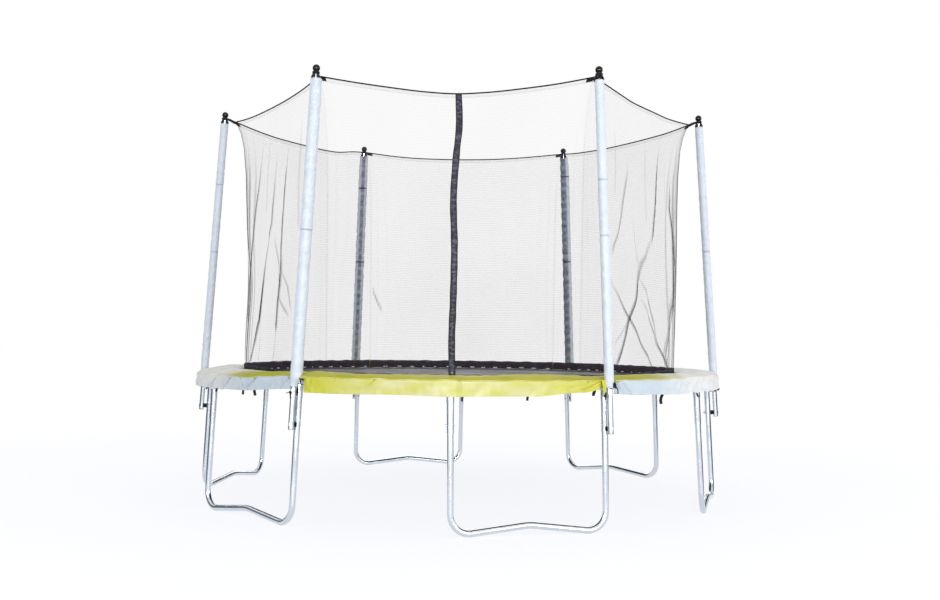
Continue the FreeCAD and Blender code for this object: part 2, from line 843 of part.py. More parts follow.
def build():
    os.makedirs("parts", exist_ok=True)
    upright_angles = [first_leg_angle - half_pitch + tube_step * i for i in range(ring_tube_count)]
    for i, angle in enumerate(upright_angles):
        save("ring_tube_%02d" % (i + 1), [ring_tube(angle)])
    for k in range(leg_count):
        save("leg_base_%d" % (k + 1), [leg_base(first_leg_angle + leg_step * k)])
        save("pole_lower_%d" % (k + 1), [pole_lower(pole_angles[k])])
        save("pole_upper_%d" % (k + 1), [pole_upper(pole_angles[k])])
    save("leg_risers", [leg_riser(angle) for angle in upright_angles])
    save("pole_sleeves", [pole_sleeve(angle) for angle in pole_angles])
    save("pole_end_plugs", [pole_plug(angle) for angle in pole_angles])
    cap = pole_cap()
    save("pole_caps", [on_pole(cap, angle, sleeve_top) for angle in pole_angles])

    clamp_length = socket_radius + pole_offset + pole_radius
    clamp_bolt = bolt(clamp_bolt_radius, clamp_head_radius, clamp_length + clamp_bolt_radius)
    leg_screw = bolt(leg_screw_radius, leg_screw_head_radius, 2 * riser_radius + leg_screw_radius)
    clamp_nut = nut(clamp_bolt_radius)
    leg_nut = nut(leg_screw_radius)
    clamps = [(angle, height) for angle in pole_angles for height in clamp_heights]
    bolts = [clamp_fastener(angle, height, clamp_bolt, False) for angle, height in clamps]
    nuts = [clamp_fastener(angle, height, clamp_nut, True) for angle, height in clamps]
    bolts += [screw_fastener(angle, leg_screw, True) for angle in upright_angles]
    nuts += [screw_fastener(angle, leg_nut, False) for angle in upright_angles]
    save("frame_bolts", bolts)
    save("frame_nuts", nuts)
    save("clamp_spacers", [clamp_spacer(angle, height) for angle, height in clamps])

    hems = []
    bands = []
    for k, (mid_angle, sag, fold) in enumerate(net_panels):
        save("net_panel_%d" % (k + 1), [net_panel(mid_angle, sag, fold)])
        hems += net_hem(mid_angle, sag, fold)
        bands += net_band(mid_angle)
        save("pad_section_%d" % (k + 1), [pad_section(mid_angle)])
    save("net_top_hem", hems)
    save("net_bottom_band", bands)
    save("net_bed_ties", net_ties())
    save("net_corner_straps", [corner_strap(angle) for angle in pole_angles])
    save("zip_tape", [zip_tape()])
    save("zip_slider", [zip_slider()])
    save("zip_pull", [zip_pull()])
    save("pad_straps", [pad_strap(angle) for angle in pad_strap_angles])
    save("bed_mat", [bed_mat()])
    save("bed_v_rings", all_round(v_ring()))
    save("springs", all_round(spring()))


build()
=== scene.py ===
"""The looks of a round garden trampoline with a net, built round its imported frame. Metres, +Z up, front at -Y."""

import json
import math

import bpy
import numpy as np
from mathutils import Matrix, Vector


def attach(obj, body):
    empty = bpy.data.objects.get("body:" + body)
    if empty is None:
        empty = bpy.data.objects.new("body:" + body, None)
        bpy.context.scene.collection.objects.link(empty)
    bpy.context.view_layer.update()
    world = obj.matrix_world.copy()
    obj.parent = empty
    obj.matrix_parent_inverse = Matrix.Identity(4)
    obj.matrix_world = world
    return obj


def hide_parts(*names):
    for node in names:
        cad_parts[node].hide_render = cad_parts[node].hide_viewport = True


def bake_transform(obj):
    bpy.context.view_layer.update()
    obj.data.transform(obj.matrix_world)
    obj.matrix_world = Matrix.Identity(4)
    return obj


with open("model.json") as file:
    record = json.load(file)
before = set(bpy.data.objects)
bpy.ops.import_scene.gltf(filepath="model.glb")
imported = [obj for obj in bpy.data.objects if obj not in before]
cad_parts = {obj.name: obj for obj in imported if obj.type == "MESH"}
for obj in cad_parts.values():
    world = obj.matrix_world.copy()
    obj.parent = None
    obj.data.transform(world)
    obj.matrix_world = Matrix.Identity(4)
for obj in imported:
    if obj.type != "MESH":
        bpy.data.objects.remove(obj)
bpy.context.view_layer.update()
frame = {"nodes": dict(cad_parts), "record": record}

# Sizes that the frame is made to, in metres and degrees
RING_RADIUS = 1.8
RING_HEIGHT = 0.85
LEG_LEAN = math.radians(3.0)
POLE_OFFSET = 0.055
POLE_OFFSET_HEIGHT = 0.7
HALF_LEG = 15.0
HALF_SECTOR = 30.0
POLES = [-60.0 + 60.0 * k for k in range(6)]
SECTIONS = [-90.0 + 60.0 * k for k in range(6)]
POLE_LEANS = [(3.5, -0.2), (3.5, 0.0), (3.5, 0.4), (3.5, 0.0), (3.5, 0.0), (3.8, 0.55)]
SLEEVE_TOP = 2.678
SLEEVE_RADIUS = 0.0282
NET_BOTTOM = 0.868
NET_TOP = 2.690
NET_MIDDLE = (1.500, 1.436)
NET_CORNERS = [
    (0.868, 1.548), (0.92, 1.5488), (1.4, 1.556), (2.0, 1.566), (2.3, 1.577), (2.5, 1.597), (2.6, 1.620), (2.67, 1.650),
    (2.70, 1.668), (2.72, 1.679),
]
HALF_PANEL = 0.78
HEM_HEIGHT = 0.027
BAND_LOW = 0.857
BAND_TOP, BAND_TOP_FRONT = 0.9185, 0.904
ZIP_TOP = 2.6
ZIP_LEAN = math.atan((NET_MIDDLE[0] - NET_MIDDLE[1]) / (NET_TOP - NET_BOTTOM))
ZIP_TIP = math.radians(0.92)
SLIDER_START, SLIDER_END = 0.04, 1.54
PAD_INNER = 1.567
PAD_SHOULDER = 1.79
PAD_OUTER = 1.847
PAD_UNDERSIDE = 0.8735
RIM_HEIGHT = 0.8852
PAD_NOTCH = (1.812, 0.036)
SKIRT_BOTTOM = 0.795
SKIRT_DROP = 0.09
SPRING_COUNT = 72
SPRING_ENDS = (1.632, 1.768)
WIRE_RADIUS = 0.0018
UP = np.array([0, 0, 1.0])

# How thick the soft sheets are
NET_THICKNESS = 0.0012
HEM_THICKNESS = 0.0014
WEBBING_THICKNESS = 0.0024
COVER_THICKNESS, HEMMED_THICKNESS = 0.0022, 0.0034
TAPE_THICKNESS = 0.0011

# The scale at which a wave texture's bands are one metre apart
WAVE_SCALE = 0.1 * math.pi


def unit(vectors):
    """Vectors of length 1 along the given ones."""
    return vectors / np.linalg.norm(vectors, axis=-1, keepdims=True)


def polar(radius, degrees, height=0.0):
    """Points at a radius, an angle and a height, any of them an array."""
    turn = np.radians(degrees)
    radius, turn, height = np.broadcast_arrays(radius, turn, height)
    return np.stack([radius * np.cos(turn), radius * np.sin(turn), height], -1)


def in_rows(count, first=0.0, last=1.0):
    """Even values, one for each row of a grid."""
    return np.linspace(first, last, count)[:, None]


def in_columns(count):
    """Even values from -1 to 1, one for each column of a grid."""
    return np.linspace(-1, 1, count)[None]


def turns(count):
    """Even angles round a circle, in radians."""
    return np.arange(count) * 2 * math.pi / count


def uneven(seed, *waves):
    """A smooth uneven field of about -1 to 1: a quarter of the sum of nine sine waves, seeded in length and phase.
    Each of waves is (coordinate, fewest cycles per unit, most cycles per unit)."""
    draw = np.random.default_rng(seed)
    total = 0.0
    for _ in range(9):
        phase = draw.uniform(0, 2 * math.pi)
        for coordinate, fewest, most in waves:
            phase = phase + 2 * math.pi * draw.uniform(fewest, most) * draw.choice([-1, 1]) * coordinate
        total = total + np.sin(phase)
    return total / 4


def bell(distance, width):
    """A smooth bump of height 1 at distance 0."""
    return np.exp(-(distance / width) ** 2)


def step(value, low, high):
    """Smoothly from 0 at low to 1 at high."""
    t = np.clip((value - low) / (high - low), 0, 1)
    return t * t * (3 - 2 * t)


# Meshes


def shell(points, **fields):
    """A closed shell over loops of points (rows, points round, 3): quads between the loops and strips across both
    ends, turned to face out. Its uvs are the lengths round and along it. Each field is a value, or one per point."""
    rows, count = points.shape[:2]
    index = np.arange(rows * count).reshape(rows, count)
    column = np.arange(count)
    row = np.arange(rows - 1)[:, None]
    after = (column + 1) % count
    quads = np.stack([index[:-1], index[:-1, after], index[1:, after], index[1:]], -1).reshape(-1, 4)
    round_step = np.linalg.norm(points[:, after] - points, axis=-1).mean(0)
    around = np.concatenate([[0], np.cumsum(round_step)])
    along = np.concatenate([[0], np.cumsum(np.linalg.norm(np.diff(points, axis=0), axis=-1).mean(1))])
    u = np.broadcast_to(np.stack([around[:-1], around[1:], around[1:], around[:-1]], -1), (rows - 1, count, 4))
    v = np.broadcast_to(np.stack([along[row], along[row], along[row + 1], along[row + 1]], -1), (rows - 1, count, 4))
    uvs = np.stack([u, v], -1).reshape(-1, 4, 2)
    i = np.arange(count // 2 - 1)
    strip = np.stack([i, i + 1, count - 2 - i, count - 1 - i], -1)
    ends = [strip[:, ::-1], strip + (rows - 1) * count]
    quads = np.vstack([quads] + ends)
    end_uvs = [np.stack([around[e % count], along[e // count]], -1) for e in ends]
    uvs = np.concatenate([uvs] + end_uvs)
    flat = points.reshape(-1, 3)
    a, b, c, d = (flat[quads[:, j]] for j in range(4))
    volume = np.einsum("ij,ij->", a - flat[0], np.cross(b - a, c - a) + np.cross(c - a, d - a))
    if volume < 0:
        quads = quads[:, ::-1]
        uvs = uvs[:, ::-1]
    fields = {name: np.broadcast_to(values, (rows, count)).reshape(-1) for name, values in fields.items()}
    return flat, quads, uvs, fields


def ring_shell(loops):
    """A closed shell over loops that come round to the first one again."""
    return shell(np.concatenate([loops, loops[:1]], 0))


def make_mesh(name, shells, finish, sharp=50):
    """One mesh object from shells."""
    starts = np.cumsum([0] + [len(s[0]) for s in shells[:-1]])
    mesh = bpy.data.meshes.new(name)
    points = np.vstack([s[0] for s in shells])
    quads = np.vstack([s[1] + start for s, start in zip(shells, starts)])
    mesh.from_pydata(points.tolist(), [], quads.tolist())
    layer = mesh.uv_layers.new(name="UVMap")
    layer.data.foreach_set("uv", np.concatenate([s[2] for s in shells]).astype(np.float32).ravel())
    for field in shells[0][3]:
        attribute = mesh.attributes.new(field, "FLOAT", "POINT")
        attribute.data.foreach_set("value", np.concatenate([s[3][field] for s in shells]).astype(np.float32))
    mesh.polygons.foreach_set("use_smooth", np.ones(len(quads), bool))
    mesh.set_sharp_from_angle(angle=math.radians(sharp))
    mesh.materials.append(finish)
    piece = bpy.data.objects.new(name, mesh)
    bpy.context.scene.collection.objects.link(piece)
    return piece


def make_piece(name, shells, slot, body="frame", nodes=(), sharp=50, finish=None):
    """A mesh piece that rides on a body, has its slot's finish unless another is given, and stands for nodes."""
    piece = make_mesh(name, shells, finish or FINISHES[slot], sharp)
    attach(piece, body)
    if nodes:
        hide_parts(*nodes)
    return piece


def sheet(points, thickness, **fields):
    """A thin closed sheet over a grid of points: each row goes out along one face and back along the other."""
    normal = unit(np.cross(np.gradient(points, axis=1), np.gradient(points, axis=0)))
    offset = normal * thickness / 2
    for name, values in fields.items():
        values = np.broadcast_to(values, points.shape[:2])
        fields[name] = np.concatenate([values, values[:, ::-1]], axis=1)
    return shell(np.concatenate([points + offset, (points - offset)[:, ::-1]], axis=1), **fields)


def carried(path, side, profile):
    """A profile, (points round, 2) or one for each point of the path, carried along a path (rows, 3).
    Its x lies along side, its y along the path's other normal."""
    tangent = unit(np.gradient(path, axis=0))
    side = np.broadcast_to(side, path.shape)
    side = unit(side - tangent * np.sum(side * tangent, -1, keepdims=True))
    face = np.cross(tangent, side)
    return path[:, None] + side[:, None] * profile[..., :1] + face[:, None] * profile[..., 1:]


def swept(path, side, profile, **fields):
    """A closed shell with a profile carried along a path."""
    return shell(carried(path, side, profile), **fields)


def disc(radius, sides=12):
    """A round cut face."""
    return radius * np.stack([np.cos(turns(sides)), np.sin(turns(sides))], -1)


def strip(width, thickness, sides=12, corner=0.35):
    """A flat strip's cut face with rounded edges: a circle whose sine and cosine are raised to a low power."""
    turn = turns(sides) + math.pi / sides
    circle = np.stack([np.cos(turn), np.sin(turn)], -1)
    return np.sign(circle) * np.abs(circle) ** corner * np.array([width, thickness]) / 2


def ball(*radii):
    """An egg of three radii about the origin."""
    tilt = np.radians(in_rows(10, -86, 86))
    return polar(np.cos(tilt), np.degrees(turns(16)), np.sin(tilt)) * np.array(radii)


def curve_through(points, count):
    """A smooth line through a few points: Catmull-Rom cubics between them."""
    points = np.asarray(points, float)
    ends = np.vstack([2 * points[0] - points[1], points, 2 * points[-1] - points[-2]])
    t = np.linspace(0, len(points) - 1, count)
    i = np.minimum(t.astype(int), len(points) - 2)
    f = (t - i)[:, None]
    a, b, c, d = (ends[i + j] for j in range(4))
    return 0.5 * (2 * b + (c - a) * f + (2 * a - 5 * b + 4 * c - d) * f ** 2 + (3 * b - a - 3 * c + d) * f ** 3)


def arcs(*points, steps=8):
    """A profile's line: straight between points given as (x, y), and round between points that have a third
    value, the bulge to the left of the run to the next point, as a share of its length."""
    line = []
    for here, there in zip(points, points[1:]):
        bulge = here[2] if len(here) > 2 else 0.0
        start, end = np.array(here[:2]), np.array(there[:2])
        t = np.linspace(0, 1, steps if bulge else 2)[:-1, None]
        run = end - start
        line.append(start + run * t + np.array([-run[1], run[0]]) * bulge * 4 * t * (1 - t))
    return np.vstack(line + [np.array([points[-1][:2]])])


# Materials


class Nodes:
    """Short ways to add nodes to a tree. What a node is fed is a value, or a socket to link it to."""

    def __init__(self, tree):
        self.tree = tree

    def feed(self, node, values):
        for key, value in values.items():
            if isinstance(value, bpy.types.NodeSocket):
                self.tree.links.new(value, node.inputs[key])
            else:
                node.inputs[key].default_value = value

    def add(self, kind, values, **settings):
        node = self.tree.nodes.new("ShaderNode" + kind)
        for key, value in settings.items():
            setattr(node, key, value)
        self.feed(node, values)
        return node

    def math(self, operation, a, b=0.0, clamp=False):
        return self.add("Math", {0: a, 1: b}, operation=operation, use_clamp=clamp).outputs[0]

    def length(self, vector):
        return self.add("VectorMath", {0: vector}, operation="LENGTH").outputs["Value"]

    def scaled(self, value, low, high, to_low=0.0, to_high=1.0):
        values = {"Value": value, "From Min": low, "From Max": high, "To Min": to_low, "To Max": to_high}
        return self.add("MapRange", values).outputs[0]

    def mix(self, share, first, second):
        first, second = (c if isinstance(c, bpy.types.NodeSocket) else (*c, 1) for c in (first, second))
        return self.add("Mix", {"Factor": share, 6: first, 7: second}, data_type="RGBA").outputs[2]

    def plain(self, kind, colour, **values):
        """A simple shader in one colour."""
        return self.add(kind, {"Color": (*colour, 1), **values}).outputs[0]

    def by_ray(self, seen, unseen):
        """Mixes two shaders: seen for camera, glossy and transmission rays, unseen for the rest."""
        path = self.add("LightPath", {})
        total = path.outputs["Is Camera Ray"]
        for name in ("Is Glossy Ray", "Is Transmission Ray"):
            total = self.math("MAXIMUM", total, path.outputs[name])
        return self.add("MixShader", {0: total, 1: unseen, 2: seen}).outputs[0]


class Finish(Nodes):
    """A material's nodes: a Principled shader and short ways to feed its sockets."""

    def __init__(self, name, colour=(0, 0, 0), roughness=1.0, **sockets):
        self.material = bpy.data.materials.new(name)
        self.material.use_nodes = True
        super().__init__(self.material.node_tree)
        self.shader = self.tree.nodes["Principled BSDF"]
        self.feed(self.shader, {"Base Color": (*colour, 1), "Roughness": roughness})
        self.feed(self.shader, {key.replace("_", " "): value for key, value in sockets.items()})
        self.places = self.tree.nodes.new("ShaderNodeTexCoord")

    def place(self, stretch=(1, 1, 1), by="Object", turned=0):
        """The place on the piece, stretched, and turned about Z by so many degrees."""
        values = {"Vector": self.places.outputs[by], "Scale": stretch, "Rotation": (0, 0, math.radians(turned))}
        return self.add("Mapping", values).outputs[0]

    def height(self):
        return self.add("SeparateXYZ", {0: self.place()}).outputs["Z"]

    def noise(self, scale, detail=2.0, stretch=(1, 1, 1)):
        return self.add("TexNoise", {"Vector": self.place(stretch), "Scale": scale, "Detail": detail}).outputs[0]

    def waves(self, period, direction, by="UV", bend=0.0, turned=0):
        """Bright and dark bands across X or Y, one for each period in metres."""
        vector = self.place(by=by, turned=turned)
        values = {"Vector": vector, "Scale": WAVE_SCALE / period, "Distortion": bend, "Detail": 0}
        return self.add("TexWave", values, bands_direction=direction).outputs["Fac"]

    def field(self, name):
        return self.add("Attribute", {}, attribute_name=name).outputs["Fac"]

    def colour(self, socket):
        self.feed(self.shader, {"Base Color": socket})

    def roughness(self, pattern, low, high):
        """Roughness between two values, by a pattern's middle range."""
        self.feed(self.shader, {"Roughness": self.scaled(pattern, 0.3, 0.7, low, high)})

    def bump(self, *heights):
        """Each of heights is (pattern, depth in metres)."""
        normal = {}
        for pattern, depth in heights:
            values = {"Height": pattern, "Distance": depth, "Strength": 1.0, **normal}
            normal = {"Normal": self.add("Bump", values).outputs[0]}
        self.feed(self.shader, normal)

    def surface(self, socket):
        """Another shader in the place of the Principled one."""
        self.tree.nodes.remove(self.shader)
        self.feed(self.tree.nodes["Material Output"], {"Surface": socket})
        return self.material


def galvanised_tube():
    """Bright zinc: a faint cloudy spangle, fine drawing marks and a duller, dusty foot near the floor."""
    f = Finish("galvanised tube", (0.72, 0.76, 0.80), 0.2, Metallic=1.0)
    spangle = f.add("TexVoronoi", {"Vector": f.place(), "Scale": 140.0}).outputs["Color"]
    cloud = f.noise(9.0, 3.0)
    grain = f.noise(300.0, 2.0)
    bright = f.mix(cloud, (0.56, 0.61, 0.67), (0.69, 0.74, 0.80))
    bright = f.mix(f.scaled(spangle, 0, 1, 0.0, 0.08), bright, (0.85, 0.88, 0.91))
    dust = f.math("MULTIPLY", f.scaled(f.height(), 0.012, 0.0), f.scaled(cloud, 0.3, 0.7), clamp=True)
    f.colour(f.mix(dust, bright, (0.42, 0.41, 0.40)))
    f.roughness(cloud, 0.13, 0.21)
    f.bump((grain, 0.00002))
    return f.material


def worn(name, colour, scale, detail, share, colours, polish, relief=None, **sockets):
    """A smooth hard material. One noise changes its colour, where the noise is in the range share, and its polish.
    relief is a bump's depth, and the scale of a second noise for it or None for the same one."""
    f = Finish(name, colour, **sockets)
    wear = f.noise(scale, detail)
    f.colour(f.mix(f.scaled(wear, *share), *colours))
    f.roughness(wear, *polish)
    if relief:
        depth, grain = relief
        f.bump((f.noise(grain, 1.0) if grain else wear, depth))
    return f.material


def coated_cover(name, colour, shade, roughness, crease_depth, gloss):
    """Coated cloth: a fine pressed weave, soft creases with painted shade in them, and two marks that
    pieces carry as attributes: one for a painted glare that whitens it, and one for painted shade, on a sleeve's
    side towards the net and in a crease, and above 1 the dark of a seam."""
    f = Finish(name, colour, roughness, Coat_Weight=0.10 * gloss, Coat_Roughness=0.25, Specular_IOR_Level=0.5 * gloss)
    creases = f.noise(13.0, 2.0, (1.0, 1.0, 1.5))
    weave = f.math("MULTIPLY", f.waves(0.0016, "X"), f.waves(0.0016, "Y"))
    cloud = f.noise(4.0, 3.0)
    # Painted shade: the colour darkens towards the shade colour in the creases.
    crease_shade = f.scaled(creases, 0.38, 0.60, 0.5, 0.0)
    plain = f.mix(f.math("MULTIPLY", crease_shade, f.scaled(cloud, 0.3, 0.7, 0.4, 1.0)), colour, shade)
    # Painted glare: the colour whitens where a piece carries the glare mark.
    share = f.math("MULTIPLY", f.field("faded"), f.scaled(creases, 0.3, 0.6, 0.85, 1.0))
    glared = f.mix(share, plain, (0.90, 0.90, 0.895))
    # Painted shade: the colour turns dark blue where a piece carries the shade mark; above 1 it is a dark seam.
    rubbed = f.mix(f.field("dull"), glared, (0.100, 0.124, 0.185))
    f.colour(f.mix(f.math("SUBTRACT", f.field("dull"), 1.0, clamp=True), rubbed, (0.020, 0.021, 0.030)))
    f.roughness(cloud, roughness - 0.05, roughness + 0.08)
    f.bump((creases, crease_depth), (weave, 0.00012))
    return f.material


def black_webbing():
    """Woven webbing: ribs across and threads along, in black that is paler where a piece carries a painted highlight.
    """
    f = Finish("black webbing", (0.022, 0.022, 0.025), 0.8, Specular_IOR_Level=0.15, Sheen_Weight=0.02)
    ribs = f.waves(0.0022, "Y")
    threads = f.waves(0.0016, "X")
    worn = f.math("MULTIPLY", ribs, f.noise(160.0, 3.0))
    plain = f.mix(worn, (0.006, 0.006, 0.008), (0.024, 0.024, 0.031))
    # Painted highlight: blue-grey where a piece marks its lit edge.
    f.colour(f.mix(f.field("rubbed"), plain, (0.046, 0.054, 0.084)))
    f.bump((f.math("MULTIPLY", ribs, threads), 0.0005))
    return f.material


def zip_fabric():
    """The zip's tape: dark blue-black with a fine rib and creases whose ridges carry a painted sheen."""
    f = Finish("zip tape", (0.03, 0.028, 0.045), 0.65, Specular_IOR_Level=0.15)
    creases = f.noise(38.0, 3.0, (0.6, 0.6, 1.6))
    ribs = f.waves(0.0018, "Y")
    # Painted sheen: the colour lightens on the crease ridges.
    inner = f.mix(f.scaled(creases, 0.48, 0.62), (0.026, 0.026, 0.040), (0.115, 0.112, 0.165))
    f.colour(f.mix(f.field("edge"), inner, (0.010, 0.010, 0.016)))
    f.bump((creases, 0.005), (ribs, 0.0003))
    return f.material


def net_mesh(name, cover, denser=1.3):
    """Fine black knitted mesh: cover is the share of light one face stops, denser how much more it stops low
    down; gathers add to it."""
    f = Finish(name, (0.045, 0.038, 0.042), 0.9)
    f.colour(f.mix(f.scaled(f.field("gather"), 0.0, 0.12), (0.105, 0.055, 0.095), (0.040, 0.034, 0.042)))
    threads = (f.math("POWER", f.waves(0.0042, direction, turned=45), 4.0) for direction in "XY")
    thread = f.math("MAXIMUM", *threads)
    rows = f.waves(0.0145, "Y", bend=2.2)
    knit = f.math("ADD", f.scaled(thread, 0, 1, 0.44, 1.15), f.scaled(rows, 0, 1, 0.0, 0.62))
    cloud = f.scaled(f.noise(2.2, 3.0, (1, 1, 0.6)), 0.3, 0.7, 0.85, 1.15)
    cloud = f.math("MULTIPLY", cloud, f.scaled(f.height(), 2.1, 1.1, 1.0, denser))
    plain = f.math("MULTIPLY", f.math("MULTIPLY", knit, cloud), cover)
    f.feed(f.shader, {"Alpha": f.math("ADD", plain, f.field("gather"), clamp=True)})
    return f.material


def white_thread():
    """Twisted white sewing thread."""
    f = Finish("white thread", (0.86, 0.86, 0.84), 0.7, Sheen_Weight=0.2)
    twist = f.waves(0.0018, "Y")
    f.colour(f.mix(twist, (0.70, 0.70, 0.69), (0.90, 0.90, 0.88)))
    f.bump((twist, 0.0003))
    return f.material


def bed_weave():
    """The bed's tight weave: fine crossed threads and lighter stitching in its hem."""
    f = Finish("bed weave", (0.03, 0.03, 0.032), 0.55, Specular_IOR_Level=0.3)
    weave = f.math("MULTIPLY", f.waves(0.003, "X", "Object"), f.waves(0.003, "Y", "Object"))
    flat = f.length(f.place((1, 1, 0)))
    cloud = f.noise(2.0, 4.0)
    stitches = f.waves(0.012, "X", "Object")
    off_rows = [f.math("ABSOLUTE", f.math("SUBTRACT", flat, radius)) for radius in (1.562, 1.588)]
    rows = [f.scaled(off, 0.0016, 0.0008) for off in off_rows]
    seam = f.math("MULTIPLY", f.math("MAXIMUM", rows[0], rows[1]), f.scaled(stitches, 0.35, 0.45))
    plain = f.mix(f.math("MULTIPLY", weave, cloud), (0.016, 0.016, 0.018), (0.06, 0.06, 0.064))
    f.colour(f.mix(seam, plain, (0.30, 0.30, 0.31)))
    f.roughness(cloud, 0.42, 0.6)
    f.bump((weave, 0.0006))
    return f.material


# Each slot's finish
FINISHES = {
    "galvanised_steel": galvanised_tube(),
    "zinc_fasteners": worn(
        "zinc plated", (0.6, 0.61, 0.63), 220.0, 4.0, (0, 1), ((0.42, 0.43, 0.45), (0.78, 0.79, 0.80)), (0.22, 0.42),
        (0.00008, None), Metallic=1.0,
    ),
    "spring_steel": worn(
        "galvanised wire", (0.62, 0.64, 0.66), 60.0, 3.0, (0, 1), ((0.5, 0.52, 0.54), (0.74, 0.76, 0.78)), (0.25, 0.4),
        Metallic=1.0,
    ),
    "sleeve_cover": coated_cover("sleeve cover", (0.735, 0.805, 0.90), (0.62, 0.71, 0.83), 0.42, 0.0012, 0.28),
    "lime_cover": coated_cover("lime cover", (0.655, 0.65, 0.085), (0.53, 0.54, 0.04), 0.38, 0.0018, 0.35),
    "blue_cover": coated_cover("pale blue cover", (0.62, 0.715, 0.795), (0.48, 0.57, 0.67), 0.40, 0.0018, 0.35),
    "black_plastic": worn(
        "moulded black plastic", (0.006, 0.006, 0.007), 90.0, 4.0, (0.5, 0.75),
        ((0.004, 0.004, 0.005), (0.011, 0.011, 0.013)), (0.07, 0.14), (0.00002, 900.0), Specular_IOR_Level=0.20,
    ),
    "black_webbing": black_webbing(),
    "zip_fabric": zip_fabric(),
    "slider_metal": worn(
        "black enamel", (0.02, 0.02, 0.026), 500.0, 4.0, (0.62, 0.72), ((0.02, 0.02, 0.026), (0.22, 0.22, 0.24)),
        (0.22, 0.45), Metallic=0.3, Specular_IOR_Level=0.3,
    ),
    "net_mesh": net_mesh("side net", 0.051, 1.08),
    "bed_weave": bed_weave(),
}

# Finishes of single pieces that look different from their slot's
# The pad tops' lime is darker than the skirts' lime: painted shade on the upward faces.
SHADED_LIME_TOP = coated_cover("lime cover, shaded side", (0.46, 0.44, 0.032), (0.32, 0.32, 0.016), 0.5, 0.0018, 0.2)
FRONT_NET = net_mesh("front net", 0.029)
BACK_NET = net_mesh("back net", 0.045)
THREAD = white_thread()


# The frame's own axes


def leg_point(mid, across, height):
    """A point in a leg's leaning plane, by its distance from the middle and its height."""
    plane = RING_RADIUS * math.cos(math.radians(HALF_LEG)) + RING_HEIGHT * math.tan(LEG_LEAN)
    return polar(plane - height * math.tan(LEG_LEAN), mid, height) + polar(across, mid + 90)


def pole_foot(angle):
    """Where a pole's axis is at the height at which its offset is given: outside its leg's upright."""
    upright = leg_point(angle - HALF_LEG, RING_RADIUS * math.sin(math.radians(HALF_LEG)), POLE_OFFSET_HEIGHT)
    return upright + polar(POLE_OFFSET, angle)


def pole_axes(angle):
    """A pole's outward, sideways and upward directions, from its lean towards the middle and to its side."""
    inward, aside = np.tan(np.radians(POLE_LEANS[POLES.index(angle)]))
    along = unit(polar(-inward, angle, 1.0) + polar(aside, angle + 90))
    sideways = unit(polar(1.0, angle + 90) - along * (along @ polar(1.0, angle + 90)))
    return np.cross(sideways, along), sideways, along


def on_pole(angle, height, outward, sideways, upward=0.0):
    """Points given by a height on a pole's axis and distances from it."""
    out, side, along = pole_axes(angle)
    run = (np.asarray(height) - POLE_OFFSET_HEIGHT) / along[2]
    outward, sideways, run = np.broadcast_arrays(outward, sideways, run + upward)
    return pole_foot(angle) + out * outward[..., None] + side * sideways[..., None] + along * run[..., None]


# Poles


# How each pole's sleeve looks: its radius above the pad, how far its slack hangs to one side and at which turn,
# how crinkled it is, how long its tapered foot is, the heights of its joints, and the turn, width and depth of
# the stripe of painted shade on it
SLEEVE_LOOKS = [
    (0.0288, 0.000, 0, 1.2, 0.012, (2.073, 1.738), (200, 60, 0.05)),
    (0.0292, 0.000, 0, 1.1, 0.020, (1.765,), (200, 70, 0.08)),
    (0.0375, 0.008, 290, 2.6, 0.030, (2.516, 1.782), (168, 56, 0.90)),
    (0.0375, 0.001, 150, 2.8, 0.030, (1.763, 2.40), (156, 24, 0.90)),
    (0.0288, 0.000, 0, 1.1, 0.020, (2.223, 1.728), (160, 70, 0.08)),
    (0.0366, 0.0115, 128, 1.5, 0.056, (1.756,), (200, 40, 0.04)),
]

# Where each sleeve's cover ends below its foam, and where its slack is full
SLEEVE_ENDS = [(0.841, 0.90), (0.843, 0.93), (0.843, 0.90), (0.843, 0.90), (0.843, 0.93), (0.826, 0.872)]


